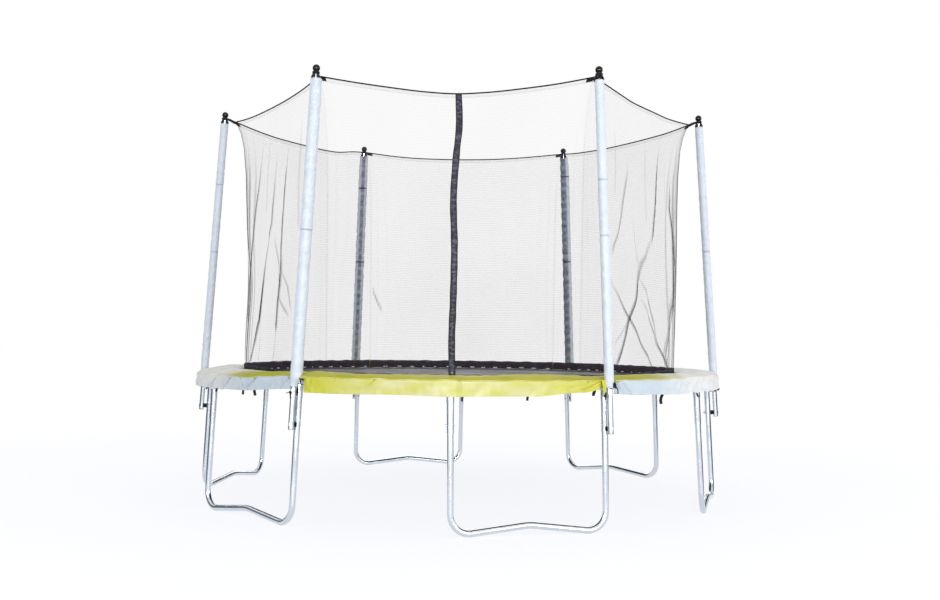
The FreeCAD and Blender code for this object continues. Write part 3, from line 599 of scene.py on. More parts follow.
def sleeves():
    """Foam tubes in a sewn cover. Radius = the girth at each height + ring creases, crinkles and lengthwise
    unevenness, drawn in at both ends and at the joints; the slack moves the cover to one side of the pole."""
    turn = turns(40)
    front, beside = np.cos(turn), np.sin(turn)
    for k, angle in enumerate(POLES):
        end, full = SLEEVE_ENDS[k]
        height = in_rows(420, end, SLEEVE_TOP + 0.001)
        girth, slack, side, crinkled, foot, joints, (dull_turn, dull_width, dull_depth) = SLEEVE_LOOKS[k]
        dents = uneven(40 + k, (height, 5, 16), (front, 0.2, 0.6), (beside, 0.2, 0.6))
        rings = uneven(60 + k, (height, 20, 42), (front, 0.1, 0.4)) * step(uneven(80 + k, (height, 1, 3)), -0.1, 0.6)
        slants = uneven(20 + k, (height + 0.02 * front, 14, 30), (beside, 0.3, 0.9))
        loose = step(height, end + 0.014, full) * (1 - (0.02 if k == 5 else 0.30) * step(height, 2.5, SLEEVE_TOP))
        radius = SLEEVE_RADIUS - 0.0006 + (girth - SLEEVE_RADIUS) * loose
        radius = radius + crinkled * (0.0008 * dents + 0.0006 * rings + 0.0005 * slants * loose)
        if k == 5:
            zigzag = np.degrees(turn) - 18 - 26 * np.sin(2 * math.pi * height / 0.064 + 2.0 * np.sin(9 * height))
            ridge = bell((zigzag + 180) % 360 - 180, 15.0) * step(np.abs(height - 2.06), 0.30, 0.16)
            radius = radius + 0.0022 * ridge
        for joint in joints:
            radius = radius - 0.0024 * bell(height - joint, 0.005) + 0.0010 * bell(height - joint - 0.012, 0.010)
        top_drawn = 0.5 + 0.5 * step(height, SLEEVE_TOP + 0.001, SLEEVE_TOP - 0.004)
        radius = radius * (0.70 + 0.30 * step(height, end - 0.001, end + foot) * top_drawn)
        shift, side = slack * loose, math.radians(side)
        out, aside = radius * front + shift * math.cos(side), radius * beside + shift * math.sin(side)
        loops = on_pole(angle, height, out, aside)
        # Painted shade: a mottled stripe on the sleeve's side towards the net, and on the back sleeves a lighter shade
        # over the rest of the cover.
        away = np.abs((np.degrees(turn) - dull_turn + 180) % 360 - 180)
        mottled = 0.90 + 0.22 * uneven(100 + k, (height, 8, 24), (front, 0.3, 0.9))
        stripe = step(away, dull_width + 9, dull_width - 9)
        dull = dull_depth * stripe * np.clip(mottled, 0.5, 1)
        shaded_pole = step(dull_depth, 0.3, 0.6)
        dull = dull + 0.13 * shaded_pole * (1 - stripe)
        seam = 0.62 if k in (1, 3, 5) else 0.42
        for joint in joints:
            dull = dull + (seam + 0.9 * shaded_pole) * bell(height - joint, 0.0042)
        loops = shell(loops, dull=dull, faded=0.0)
        piece = make_piece(f"sleeve_{k + 1}", [loops], "sleeve_cover", nodes=["pole_sleeves"])


# Each cap is turned on its pole, in degrees
CAP_TURNS = [9.0, 79.0, 20.0, 70.0, 13.5, 39.0]

# How far the left front pole's cap sits to one side
CAP_SHIFTS = {240.0: 0.009}

# The caps' own sizes, and the straps': radii, and heights above the sleeve's top
TIP_RADIUS = 0.0164
SLIT_RADIUS = 0.0155
BALL_RADIUS, BALL_RISE = 0.0232, 0.0632
NECK_RADIUS, STRAP_RISE = 0.0216, 0.0345
STRAP_WIDTH = 0.0165


def on_cap(angle, radius, turn, rise):
    """Points round a cap's own axis, by their radius, their turn and their height above the sleeve's top."""
    aside = radius * np.sin(turn) + CAP_SHIFTS.get(angle, 0.0)
    return on_pole(angle, SLEEVE_TOP, radius * np.cos(turn), aside, rise)


def caps():
    """Ball caps: a slit, flared skirt, a shoulder, a neck, a groove and a ball, turned as one. Inside each slit
    the wall is drawn in past the pole's tip, so that the bare tube shows there."""
    profile = arcs(
        (0.0150, 0.0), (0.0298, 0.0), (0.0303, 0.001), (0.0293, 0.008), (0.0279, 0.014),
        (0.0258, 0.0185), (0.0242, 0.0210), (0.0215, 0.0235), (0.0215, 0.0255, 0.2),
        (0.0200, 0.027), (0.0200, 0.042, 0.2), (0.0180, 0.0442), (0.0160, 0.0444, -0.25),
        (0.0160, 0.0470), steps=5,
    )
    dome = np.radians(np.linspace(-46, 89, 22))
    ball_line = np.stack([BALL_RADIUS * np.cos(dome), BALL_RISE + BALL_RADIUS * np.sin(dome)], -1)
    profile = np.vstack([profile, ball_line])
    turn = turns(112)
    slit = step(np.abs(np.sin(2 * turn)), 0.54, 0.44)[None] * step(profile[:, 1], 0.0262, 0.0242)[:, None]
    radius = profile[:, :1] - np.maximum(profile[:, :1] - SLIT_RADIUS, 0) * slit
    shells, tips = [], []
    for angle, spin in zip(POLES, CAP_TURNS):
        shells.append(shell(on_cap(angle, radius, turn + math.radians(spin), profile[:, 1:])))
        tips.append(shell(on_cap(angle, TIP_RADIUS, turn[::4], in_rows(5, 0.0015, 0.0246))))
    make_piece("ball_caps", shells, "black_plastic", nodes=["pole_caps"], sharp=40)
    make_piece("pole_tips", tips, "galvanised_steel")


def corner_straps():
    """Webbing rings round the caps' necks, straps drawn straight to the net's corners, and patches that bind the
    last few centimetres of each hem."""
    shells = []
    x, y = strip(0.0022, 0.0125).T
    for angle in POLES:
        shells.append(ring_shell(on_cap(angle, NECK_RADIUS + x, turns(48)[:, None], STRAP_RISE + y)))
        start = on_pole(angle, SLEEVE_TOP, -0.0210, 0.0, 0.0325)
        corner = NET_TOP - PANELS[POLES.index(angle) - 5][1][0] - 0.0065
        end = polar(net_corner(corner) - 0.004, angle, corner)
        share = in_rows(14)
        path = start + (end - start) * share + 0.0022 * UP * np.sin(2 * math.pi * share)
        faces = np.stack([strip(STRAP_WIDTH + 0.0045 * s, 0.0034) for s in share[:, 0]])
        shells.append(swept(path, pole_axes(angle)[2], faces))
    for mid, drops, _ in PANELS:
        for sign in (-1, 1):
            share = sign * np.linspace(1.0, 0.952, 9)[None]
            drop = in_rows(7, 0.0235, -0.0025)
            height = top_edge(share, drops) - drop
            points = net_place(mid, share, height, 0.0042 + 0.0006 * uneven(31, (share, 20, 40), (drop, 20, 60)))
            shells.append(sheet(points, COVER_THICKNESS))
    return make_piece("corner_webbing", shells, "black_webbing", nodes=["net_corner_straps"])


# Net


def net_corner(height):
    """The radius of the net's corner edges: straight between the given heights."""
    heights, radii = zip(*NET_CORNERS)
    return np.interp(height, heights, radii)


# How far the net's corner edge is drawn in (or, below nought, pulled out) on two poles: angle, depth, height, reach
CORNER_PULLS = {180: (0.032, 1.49, 0.31), 0: (-0.024, 1.55, 1.10)}


def net_place(mid, share, height, outside=0.0):
    """A point of a panel between two poles: share runs from -1 to 1 across it, outside is its distance off it."""
    corner = net_corner(height)
    for side in (-1, 1):
        pole = (mid + HALF_SECTOR * side) % 360
        if pole in CORNER_PULLS:
            depth, level, reach = CORNER_PULLS[pole]
            corner = corner - depth * bell(height - level, reach) * step(side * share, 0.2, 1.0)
    middle = np.interp(height, (NET_BOTTOM, NET_TOP), NET_MIDDLE)
    span = np.clip(np.abs(share) - 0.06, 0, 1) / 0.94
    half = math.radians(HALF_SECTOR)
    away = middle - (middle - corner * math.cos(half)) * span ** 2 + outside
    return polar(away, mid, height) + polar(share * corner * math.sin(half), mid + 90)


def top_edge(share, drops):
    """The height of a panel's sagging top edge: a smooth line through its drops at nine even shares."""
    line = curve_through(np.stack([np.linspace(-1, 1, 9), drops], -1), 240)
    return NET_TOP - np.interp(share, line[:, 0], line[:, 1])


# Each panel's middle angle, its top edge's drops below the net's top from one pole to the next, and its fold depth
PANELS = [
    (-90.0, (-0.016, 0.017, 0.0465, 0.072, 0.0845, 0.0735, 0.049, 0.0185, -0.020), 0.007),
    (-30.0, (-0.020, -0.012, 0.002, 0.0175, 0.020, 0.0195, 0.0185, 0.009, -0.004), 0.015),
    (30.0, (-0.004, 0.0205, 0.029, 0.0322, 0.0333, 0.031, 0.024, 0.012, -0.011), 0.015),
    (90.0, (-0.011, 0.0125, 0.0305, 0.0405, 0.044, 0.0425, 0.036, 0.019, -0.011), 0.007),
    (150.0, (-0.011, 0.012, 0.046, 0.0555, 0.054, 0.0515, 0.045, 0.028, 0.001), 0.015),
    (210.0, (0.001, 0.0155, 0.0262, 0.0305, 0.031, 0.0275, 0.018, 0.003, -0.016), 0.015),
]

# Each gather: its panel's number, how dark and how wide it is, and the (share, height) points that it runs through
GATHERS = [
    (6, 0.26, 0.0065, [(-0.24, 2.44), (-0.26, 2.30), (-0.29, 2.13), (-0.38, 1.88), (-0.46, 1.58), (-0.47, 1.20)]),
    (6, 0.22, 0.0060, [(0.15, 2.36), (0.14, 2.10), (0.13, 1.86), (0.02, 1.67), (-0.04, 1.45), (-0.08, 1.23)]),
    (6, 0.34, 0.0115, [(-0.01, 1.60), (-0.04, 1.45), (-0.08, 1.23), (-0.16, 1.08), (-0.34, 0.94)]),
    (6, 0.26, 0.0050, [(0.37, 2.36), (0.35, 2.09), (0.34, 1.85), (0.35, 1.68), (0.39, 1.55)]),
    (6, 0.10, 0.0050, [(0.31, 1.20), (0.29, 1.05), (0.27, 0.95)]),
    (6, 0.38, 0.0110, [(0.39, 1.60), (0.37, 1.44), (0.33, 1.34), (0.31, 1.16)]),
    (6, 0.16, 0.0045, [(0.39, 1.55), (0.49, 1.44), (0.54, 1.29)]),
    (6, 0.16, 0.0045, [(0.19, 1.75), (0.22, 1.68), (0.3, 1.55), (0.32, 1.45)]),
    (6, 0.18, 0.0055, [(0.36, 1.37), (0.50, 1.26)]),
    (6, 0.08, 0.0060, [(-0.04, 1.12), (-0.06, 0.93)]),
    (6, 0.10, 0.0090, [(-0.72, 2.40), (-0.70, 2.0), (-0.74, 1.7)]),
    (6, 0.22, 0.0120, [(-0.86, 1.75), (-0.88, 1.5), (-0.86, 1.2), (-0.82, 0.93)]),
    (6, 0.05, 0.0100, [(0.62, 2.5), (0.60, 2.1), (0.62, 1.8)]),
    (6, 0.05, 0.0070, [(-0.04, 2.45), (-0.06, 2.2), (-0.05, 1.95)]),
    (6, 0.05, 0.0080, [(0.72, 2.0), (0.67, 1.6), (0.63, 1.2)]),
    (2, 0.18, 0.0055, [(-0.38, 2.25), (-0.45, 2.03), (-0.49, 1.90), (-0.55, 1.81), (-0.63, 1.72), (-0.64, 1.67)]),
    (2, 0.34, 0.0050, [(-0.65, 1.47), (-0.54, 1.37), (-0.40, 1.26), (-0.21, 1.11), (0.03, 0.93)]),
    (2, 0.30, 0.0050, [(0.34, 2.43), (0.25, 2.22), (0.12, 1.90), (0.08, 1.78)]),
    (2, 0.13, 0.0120, [(0.08, 1.80), (-0.13, 1.63), (-0.18, 1.54), (-0.28, 1.40)]),
    (2, 0.38, 0.0075, [(-0.17, 1.56), (-0.28, 1.40), (-0.41, 1.25), (-0.46, 1.15), (-0.60, 0.96)]),
    (2, 0.08, 0.0050, [(-0.32, 1.87), (-0.22, 1.73), (-0.17, 1.62)]),
    (2, 0.20, 0.0070, [(-0.17, 1.53), (-0.07, 1.43), (0.02, 1.31), (0.10, 1.20), (0.21, 1.07), (0.44, 0.93)]),
    (2, 0.22, 0.0055, [(-0.14, 1.38), (-0.02, 1.26), (0.13, 1.11), (0.33, 1.01), (0.44, 0.93)]),
    (2, 0.32, 0.0060, [(0.64, 2.24), (0.61, 2.04), (0.67, 1.92), (0.76, 1.77), (0.86, 1.67)]),
    (2, 0.24, 0.0100, [(0.88, 1.90), (0.86, 1.68), (0.82, 1.52), (0.78, 1.42), (0.70, 1.33)]),
    (2, 0.20, 0.0085, [(0.92, 1.86), (0.91, 1.66), (0.875, 1.50), (0.84, 1.40), (0.77, 1.30)]),
    (2, 0.17, 0.0080, [(0.84, 1.82), (0.815, 1.64), (0.77, 1.49), (0.72, 1.38), (0.64, 1.28)]),
    (2, 0.24, 0.0105, [(0.74, 1.46), (0.62, 1.27), (0.54, 1.20), (0.44, 1.10), (0.38, 1.02), (0.46, 0.90)]),
    (2, 0.20, 0.0085, [(0.79, 1.42), (0.68, 1.25), (0.60, 1.17), (0.51, 1.07), (0.45, 0.99), (0.50, 0.90)]),
    (2, 0.16, 0.0080, [(0.69, 1.44), (0.57, 1.27), (0.48, 1.20), (0.38, 1.09), (0.32, 1.01), (0.41, 0.90)]),
    (2, 0.10, 0.0045, [(-0.41, 1.24), (-0.61, 1.11)]),
    (2, 0.06, 0.0070, [(-0.80, 2.50), (-0.78, 2.20), (-0.80, 1.95)]),
    (2, 0.05, 0.0080, [(-0.58, 2.45), (-0.57, 2.25), (-0.60, 2.05)]),
    (2, 0.05, 0.0080, [(0.00, 2.45), (-0.03, 2.15), (-0.02, 1.90)]),
    (2, 0.06, 0.0070, [(0.50, 2.42), (0.46, 2.05), (0.42, 1.70)]),
    (2, 0.12, 0.0060, [(0.86, 2.20), (0.84, 1.95), (0.83, 1.70)]),
    (4, 0.24, 0.0040, [(0.97, 1.50), (0.93, 1.42), (0.88, 1.34)]),
]


# The gathers are drawn so much darker and wider than their list says
GATHERS_DARKER, GATHERS_WIDER = 1.70, 1.22


def gathered(number, share, height):
    """How much each point of a panel is gathered, from its listed gathers."""
    total = 0.0 * share * height
    for panel, dark, width, points in GATHERS:
        if panel == number:
            line = np.array(points)
            line = line[np.argsort(line[:, 1])]
            across = np.interp(height, line[:, 1], line[:, 0])
            length = line[-1, 1] - line[0, 1]
            slope = np.interp(height, (line[1:, 1] + line[:-1, 1]) / 2, np.diff(line[:, 0]) / np.diff(line[:, 1]))
            reach = step(height, line[0, 1] - 0.03, line[0, 1] + min(0.05, 0.3 * length))
            reach = reach * step(height, line[-1, 1] + 0.06, line[-1, 1] - 0.35 * length)
            off = (share - across) * HALF_PANEL / np.sqrt(1 + (HALF_PANEL * slope) ** 2)
            total = total + GATHERS_DARKER * dark * reach * bell(off, GATHERS_WIDER * width)
    return total


def net_panels():
    """Each panel's distance off its plain sheet = broad uneven folds, deepest half way up, + its gathers. The seam
    in each corner and a few loose lines beside it are gathered too."""
    pieces = []
    for number, (mid, drops, fold) in enumerate(PANELS):
        rows, columns = (60, 240) if number in (0, 3) else (124, 280)
        share, rise = in_columns(columns), in_rows(rows)
        height = NET_BOTTOM + rise * (top_edge(share, drops) - NET_BOTTOM)
        free = np.sin(math.pi * rise) ** 0.6 * step(np.abs(share), 1.0, 0.9) * step(np.abs(share), 0.03, 0.12)
        folds = uneven(number + 5, (share, 1.5, 4.0), (height, 0.1, 0.35))
        gather = gathered(number + 1, share, height)
        push = free * (0.8 * fold * folds + 0.022 * np.minimum(gather, 0.5))
        points = net_place(mid, share, height, push - 0.0015)
        beside = (1 - np.abs(share)) * HALF_PANEL
        sway = 0.05 + 0.016 * uneven(number + 55, (height, 0.3, 0.9))
        seam = 0.72 * bell(beside, 0.010) + 0.30 * bell(beside - sway, 0.009) + 0.16 * bell(beside - 2.3 * sway, 0.011)
        seam = seam * (0.10 + 0.90 * step(height, 2.56, 2.16)) + 0.12 * bell(beside, 0.03)
        before, after = ((mid + HALF_SECTOR * side) % 360 in CORNER_PULLS for side in (-1, 1))
        seam = seam * (0.04 + 0.96 * np.where(share > 0, after, before))
        finish = {0: FRONT_NET, 3: BACK_NET}.get(number)
        loops = sheet(points, NET_THICKNESS, gather=gather + seam)
        node = f"net_panel_{number + 1}"
        pieces.append(make_piece(f"net_{number + 1}", [loops], "net_mesh", nodes=[node], sharp=180, finish=finish))
    return pieces


def net_hems():
    """The doubled hem of each panel and a bound edge along its top."""
    hems, edges = [], []
    for mid, drops, _ in PANELS:
        share, drop = in_columns(160), in_rows(6, HEM_HEIGHT, 0)
        height = top_edge(share, drops) - drop
        points = net_place(mid, share, height, 0.0022 + 0.001 * uneven(7, (share, 3, 9)))
        hems.append(sheet(points, HEM_THICKNESS, gather=0.07 * bell(drop - HEM_HEIGHT, 0.004) + 0.015))
        edge = net_place(mid, share[0], top_edge(share[0], drops), 0.0)
        edges.append(swept(edge, UP, strip(0.0085, 0.0045)))
    hem = make_piece("net_hem", hems, "net_mesh", nodes=["net_top_hem"], sharp=180, finish=FRONT_NET)
    return hem, make_piece("net_edge_binding", edges, "black_webbing", nodes=["net_top_hem"])


def net_band():
    """A wavy webbing band sewn round the net's lower edge, just outside it: it reaches down to the bed, and round
    the back and sides it stands higher than over the pad at the front."""
    shells = []
    for number, (mid, _, _) in enumerate(PANELS):
        share, rise = in_columns(220), in_rows(8)
        to_front = {1: step(share, 0.3, -0.9), 5: step(share, -0.3, 0.9)}.get(number, 0.0 * share)
        top = BAND_TOP_FRONT if number == 0 else BAND_TOP - 0.0125 * to_front
        low = BAND_LOW + 0.013 * to_front
        height = low + rise * (top - low) + 0.0022 * uneven(3, (share, 3, 8)) * rise
        ripple = 0.0016 * uneven(9, (share, 8, 22), (rise, 0.1, 0.4)) * np.sin(math.pi * np.abs(share)) ** 0.5
        points = net_place(mid, share, np.maximum(height, NET_BOTTOM), 0.0035 + ripple)
        points[..., 2] = height
        # Painted highlight along the band's upper edge.
        rubbed = step(rise, 0.62, 0.95) * np.clip(0.75 + 0.35 * uneven(6, (share, 4, 12)), 0, 1)
        shells.append(sheet(points, WEBBING_THICKNESS, rubbed=rubbed))
    return make_piece("net_band", shells, "black_webbing", nodes=["net_bottom_band"])


def band_stitches():
    """White bar tacks along the band's inner side, uneven in length."""
    draw = np.random.default_rng(17)
    shells, face = [], strip(0.0062, 0.0016, 8)
    for mid, _, _ in PANELS[1:]:
        for place in np.arange(-0.93, 0.94, 0.135):
            half = draw.uniform(0.008, 0.026)
            share = place + draw.uniform(-0.02, 0.02) + np.linspace(-half, half, 7)
            path = net_place(mid, share, NET_BOTTOM + 0.002, 0.0010)
            path[..., 2] = 0.8655 + draw.uniform(-0.002, 0.002)
            shells.append(swept(path, UP, face))
    make_piece("band_stitches", shells, "black_webbing", finish=THREAD)


def net_ties():
    """Elastic loops from the net's lower edge down to the bed's hem."""
    shells = []
    for mid, _, _ in PANELS:
        for i in range(6):
            top = net_place(mid, (2 * i + 1) / 6 - 1, NET_BOTTOM, -0.0015)
            path = top + UP * in_rows(9, 0.006, -0.0135)
            shells.append(swept(path, polar(1.0, mid), disc(0.0024, 10)))
    piece = make_mesh("net_ties", shells, FINISHES["black_webbing"])
    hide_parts("net_bed_ties")
    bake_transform(piece)


# Zip


TAPE_HALF_WIDTH = 0.0207
TOOTH_PITCH = 0.004

# The slider's width, depth and half length, and how far its pin stands out from the net
SLIDER_WIDTH, SLIDER_DEPTH, SLIDER_HALF = 0.018, 0.0052, 0.013
PIN_OUTWARD = 0.0122


def zip_wave(rise):
    """How far the soft tape wanders sideways between the two places where the slider stops."""
    heights = np.array([0.0, SLIDER_START, 0.25, 0.48, 0.80, 1.09, 1.35, SLIDER_END, 1.735])
    sideways = np.array([0.0, 0.0, -0.008, -0.006, -0.008, -0.022, -0.013, 0.0, -0.009])
    line = curve_through(np.stack([heights, sideways], -1), 400)
    return np.interp(rise, line[:, 0], line[:, 1])


def on_zip(across, outward, rise):
    """Points in the zip's own frame: across it, out of the net and up along it."""
    upright = np.array([0, math.sin(ZIP_LEAN), math.cos(ZIP_LEAN)])
    out = np.array([0, -math.cos(ZIP_LEAN), math.sin(ZIP_LEAN)])
    up = upright * math.cos(ZIP_TIP) + np.array([math.sin(ZIP_TIP), 0, 0])
    side = upright * math.sin(ZIP_TIP) - np.array([math.cos(ZIP_TIP), 0, 0])
    across, outward, rise = np.broadcast_arrays(across, outward, rise)
    origin = np.array([0, -NET_MIDDLE[0], NET_BOTTOM])
    return origin + side * across[..., None] + out * outward[..., None] + up * rise[..., None]


def zip_fastening():
    """A crinkled tape with a row of teeth on its middle, and the slider with its hanging pull."""
    length = (ZIP_TOP - NET_BOTTOM) / math.cos(ZIP_LEAN)
    rise, across = in_rows(460, 0, length + 0.005), in_columns(18)
    narrow = 1 + 0.04 * uneven(11, (rise, 3, 9))
    edge = np.abs(across) ** 2
    crinkle = 0.0016 * uneven(12, (rise, 14, 34), (across, 0.2, 0.7)) * edge + 0.0005 * uneven(13, (rise, 30, 60))
    still = step(np.abs(rise - SLIDER_START), 0.02, 0.05) * step(np.abs(rise - SLIDER_END), 0.02, 0.05)
    lift = 0.0012 + still * np.abs(crinkle)
    tape = on_zip(-zip_wave(rise) + across * TAPE_HALF_WIDTH * narrow, lift, rise)
    loops = sheet(tape, TAPE_THICKNESS, edge=step(np.abs(across), 0.55, 0.9))
    piece = make_piece("zip_tape_soft", [loops], "zip_fabric", nodes=["zip_tape"])
    side, out, up = (on_zip(*axis) - on_zip(0, 0, 0) for axis in np.eye(3))
    teeth = []
    tooth_face = strip(0.0030, 0.0020, 8, 0.5)[:, ::-1]
    for i in range(int((length - 0.012) / TOOTH_PITCH)):
        place = 0.009 + TOOTH_PITCH * i
        middle = -zip_wave(np.array(place)) + (0.0009 if i % 2 else -0.0009)
        path = on_zip(middle + np.array([-0.0021, 0.0021]), 0.0029, place)
        teeth.append(swept(path, up, tooth_face))
    make_piece("zip_teeth", teeth, "zip_fabric", sharp=30, finish=FINISHES["slider_metal"])
    slider_loops = []
    for s in np.linspace(-1, 1, 15):
        round_end = math.sqrt(max(0.0, 1 - abs(s) ** 6)) * 0.94 + 0.06
        width = SLIDER_WIDTH * round_end * (0.86 + 0.07 * (1 + s))
        profile = strip(width, SLIDER_DEPTH, 16, 0.45)
        slider_loops.append(on_zip(profile[:, 0], 0.0046 + profile[:, 1], SLIDER_START + SLIDER_HALF * s))
    make_piece("zip_slider_body", [shell(np.stack(slider_loops))], "slider_metal", "zip_slider", ["zip_slider"], 40)
    lugs = []
    bow = np.linspace(0, math.pi, 9)
    for sign in (-1, 1):
        path = on_zip(sign * 0.0047, 0.0066 + 0.0072 * np.sin(bow), SLIDER_START + 0.0032 * np.cos(bow))
        lugs.append(swept(path, side, strip(0.0018, 0.0018, 8)))
    pin = on_zip(np.linspace(-0.0052, 0.0052, 5), PIN_OUTWARD, SLIDER_START)
    lugs.append(swept(pin, out, disc(0.0013, 12)))
    make_piece("zip_slider_lugs", lugs, "slider_metal", "zip_slider", sharp=60)
    drop = np.linspace(-0.0036, 0.042, 24)
    waist = 0.0032 - 0.0011 * bell(drop - 0.010, 0.006) + 0.0004 * step(drop, 0.015, 0.04)
    tip = np.sqrt(np.clip(1 - (np.maximum(drop - 0.036, 0) / 0.0061) ** 2, 0.02, 1))
    profiles = np.stack([strip(2 * w * t, 0.0024 if d > 0.004 else 0.0058, 12) for w, t, d in zip(waist, tip, drop)])
    loops = [on_zip(p[:, 0], PIN_OUTWARD + p[:, 1], SLIDER_START - d) for p, d in zip(profiles, drop)]
    make_piece("zip_pull_tab", [shell(np.stack(loops))], "slider_metal", "zip_pull", ["zip_pull"], 40)


# Pad


def cover(number):
    """A section's slot: the front one is lime, the others are pale blue."""
    return "blue_cover" if number else "lime_cover"


def on_rim(degrees):
    """The length along the pad's rim of an angle."""
    return np.radians(degrees) * PAD_OUTER


def pad_outer(angle, mid):
    """The pad's outer radius: drawn in to its notch beside each pole."""
    beside = on_rim(HALF_SECTOR - np.abs(angle - mid))
    return PAD_NOTCH[0] + (PAD_OUTER - PAD_NOTCH[0]) * step(beside, PAD_NOTCH[1] - 0.004, PAD_NOTCH[1] + 0.010)


# Where the front cover's two halves are sewn together, as an angle
FRONT_SEAM = -88.4

# The gap between each skirt's two ends and its poles' axes, as (first end, second end), along the rim
SKIRT_GAPS = [(0.056, 0.030), (0.051, 0.034), (0.034, 0.040), (0.040, 0.040), (0.040, 0.034), (0.034, 0.016)]


def skirt_reach(number):
    """How far a skirt reaches to each side of its section's middle, in degrees."""
    return [HALF_SECTOR - math.degrees(gap / PAD_OUTER) for gap in SKIRT_GAPS[number]]


def glare_share(angle):
    """How much painted glare whitens the cover: most beside the poles at both sides."""
    from_left = np.abs(angle % 360 - 180)
    from_right = np.abs((angle + 180) % 360 - 180)
    return 0.97 * step(from_left, 48.0, 30.0) + 0.97 * step(from_right, 52.0, 32.0)


def rim_rise(angle):
    """How far the pad's rim has settled (below nought): round the left pole, and in a crumpled dip beside it."""
    return -0.026 * step(np.abs(angle % 360 - 193), 46.0, 20.0) - 0.008 * bell(angle % 360 - 228, 4.5)


def rim_level(number, angle):
    """The height of a section's sewn rim: settled with the pad, and slightly wavy."""
    waves = uneven(270 + number, (on_rim(angle - SECTIONS[number]), 2.0, 6.0))
    return RIM_HEIGHT + rim_rise(angle) + 0.0016 * waves


def seam_dip(angle, width=0.014):
    """How near an angle is to the front seam, from 0 to 1."""
    return bell(on_rim(angle - FRONT_SEAM), width)


def pad_tops():
    """Crowned foam tops: each cut face has a round nose over the bed, a crest over the springs and a round
    shoulder over the ring; uneven swells and crosswise puckers move it up and down."""
    for number, mid in enumerate(SECTIONS):
        angle = mid + in_rows(300, -29.95, 29.95)
        outer = pad_outer(angle, mid)
        line = arcs(
            (1.567, 0.8618, 0.22), (1.571, 0.887, 0.035), (1.640, 0.9085, 0.02), (1.700, 0.915, 0.02),
            (1.770, 0.9105, 0.03), (1.830, 0.8985, 0.17), (1.847, 0.8855, 0.1), (1.845, 0.8735),
            (1.826, 0.8732), (1.775, 0.8723), (1.765, 0.8632), (1.650, 0.8622), (1.567, 0.8618), steps=9,
        )[:-1]
        if len(line) % 2:
            line = np.vstack([line, (line[-1] + line[0]) / 2])
        radius, height = line[:, 0][None], line[:, 1][None]
        upper = step(height, 0.876, 0.892)
        share = (radius - PAD_INNER) / (PAD_OUTER - PAD_INNER)
        drawn_in = (radius - PAD_SHOULDER) * (outer - PAD_SHOULDER) / (PAD_OUTER - PAD_SHOULDER)
        radius = np.where(radius > PAD_SHOULDER, PAD_SHOULDER + drawn_in, radius)
        arc_length = np.radians(angle - mid) * 1.75
        swell = uneven(70 + number, (arc_length, 0.5, 1.6), (share, 0.2, 0.9))
        pucker = uneven(90 + number, (arc_length, 5.0, 14.0), (share, 0.3, 1.1))
        seam_pull = bell(np.abs(angle - mid) - 29.9, 0.5)
        lift = upper * (0.0040 * swell + 0.0014 * pucker - 0.004 - 0.006 * seam_pull)
        lift = lift * (0.4 + 0.6 * np.sin(math.pi * np.clip(share, 0, 1)))
        sag = rim_rise(angle) * step(radius, 1.826, 1.843)
        lift = lift + upper * rim_rise(angle) * step(radius, 1.58, 1.80) + (1 - upper) * sag
        if number == 0:
            lift = lift - 0.007 * upper * seam_dip(angle) * step(radius, 1.74, 1.82)
        lift = np.maximum(lift, np.where(upper > 0, PAD_UNDERSIDE + sag + 0.004 * upper - height, lift))
        points = polar(radius, angle, height + lift)
        # Painted glare: the tops whiten beside the side poles, with uneven blotches in it.
        blotches = 0.10 * uneven(190 + number, (arc_length, 2.0, 6.0), (share, 0.4, 1.4))
        faded = np.clip(glare_share(angle) + blotches * step(glare_share(angle), 0.0, 0.3), 0, 0.97)
        loops, node = shell(points, faded=faded, dull=0.0), f"pad_section_{number + 1}"
        piece = make_piece(f"pad_top_{number + 1}", [loops], cover(number), nodes=[node], sharp=70, finish=SHADED_LIME_TOP)


# Creases in the skirts: the section's number, the (angle, drop from rim to hem) where each starts and ends, its
# width and its depth
CREASES = [
    (5, (214.9, 0.0), (211.0, 1.0), 0.015, 0.011), (5, (212.6, 0.1), (207.6, 1.0), 0.014, -0.007),
    (5, (221.4, 0.0), (218.3, 1.0), 0.013, 0.009), (5, (230.2, 0.0), (226.9, 0.8), 0.010, 0.008),
    (5, (224.8, 0.0), (226.0, 0.8), 0.008, 0.006), (5, (238.9, 0.1), (236.2, 1.0), 0.006, 0.006),
    (5, (203.0, 0.0), (198.0, 1.0), 0.016, 0.009), (5, (234.6, 0.5), (232.6, 1.0), 0.008, 0.003),
    (0, (-61.9, 0.1), (-65.8, 0.95), 0.008, 0.008), (0, (-62.6, 0.0), (-69.0, 0.7), 0.011, 0.005),
    (0, (-103.2, 0.0), (-104.6, 0.36), 0.006, 0.006), (0, (-116.1, 0.05), (-116.7, 0.6), 0.004, 0.004),
    (0, (-110.9, 0.0), (-111.7, 0.3), 0.004, 0.004), (1, (-56.9, 0.2), (-54.6, 1.0), 0.007, 0.005),
    (1, (-38.2, 0.0), (-36.4, 0.35), 0.006, 0.004), (4, (166.0, 0.0), (170.0, 1.0), 0.014, 0.008),
    (4, (153.0, 0.1), (150.0, 1.0), 0.012, 0.006), (2, (22.0, 0.0), (25.0, 1.0), 0.012, 0.006),
]


def creased(number, angle, drop):
    """How far each point of a skirt is pushed in by its listed creases: a valley with a ridge beside it."""
    total = 0.0 * angle * drop
    for section, first, last, width, depth in CREASES:
        if section == number:
            start, end = (np.array([on_rim(place), SKIRT_DROP * share]) for place, share in (first, last))
            run = unit(end - start)
            x, y = on_rim(angle) - start[0], SKIRT_DROP * drop - start[1]
            along = (x * run[0] + y * run[1]) / np.linalg.norm(end - start)
            off = x * run[1] - y * run[0]
            reach = step(along, -0.20, 0.15) * step(along, 1.20, 0.80)
            total = total + depth * reach * (bell(off, width) - 0.5 * bell(off - 1.7 * width, width))
    return total


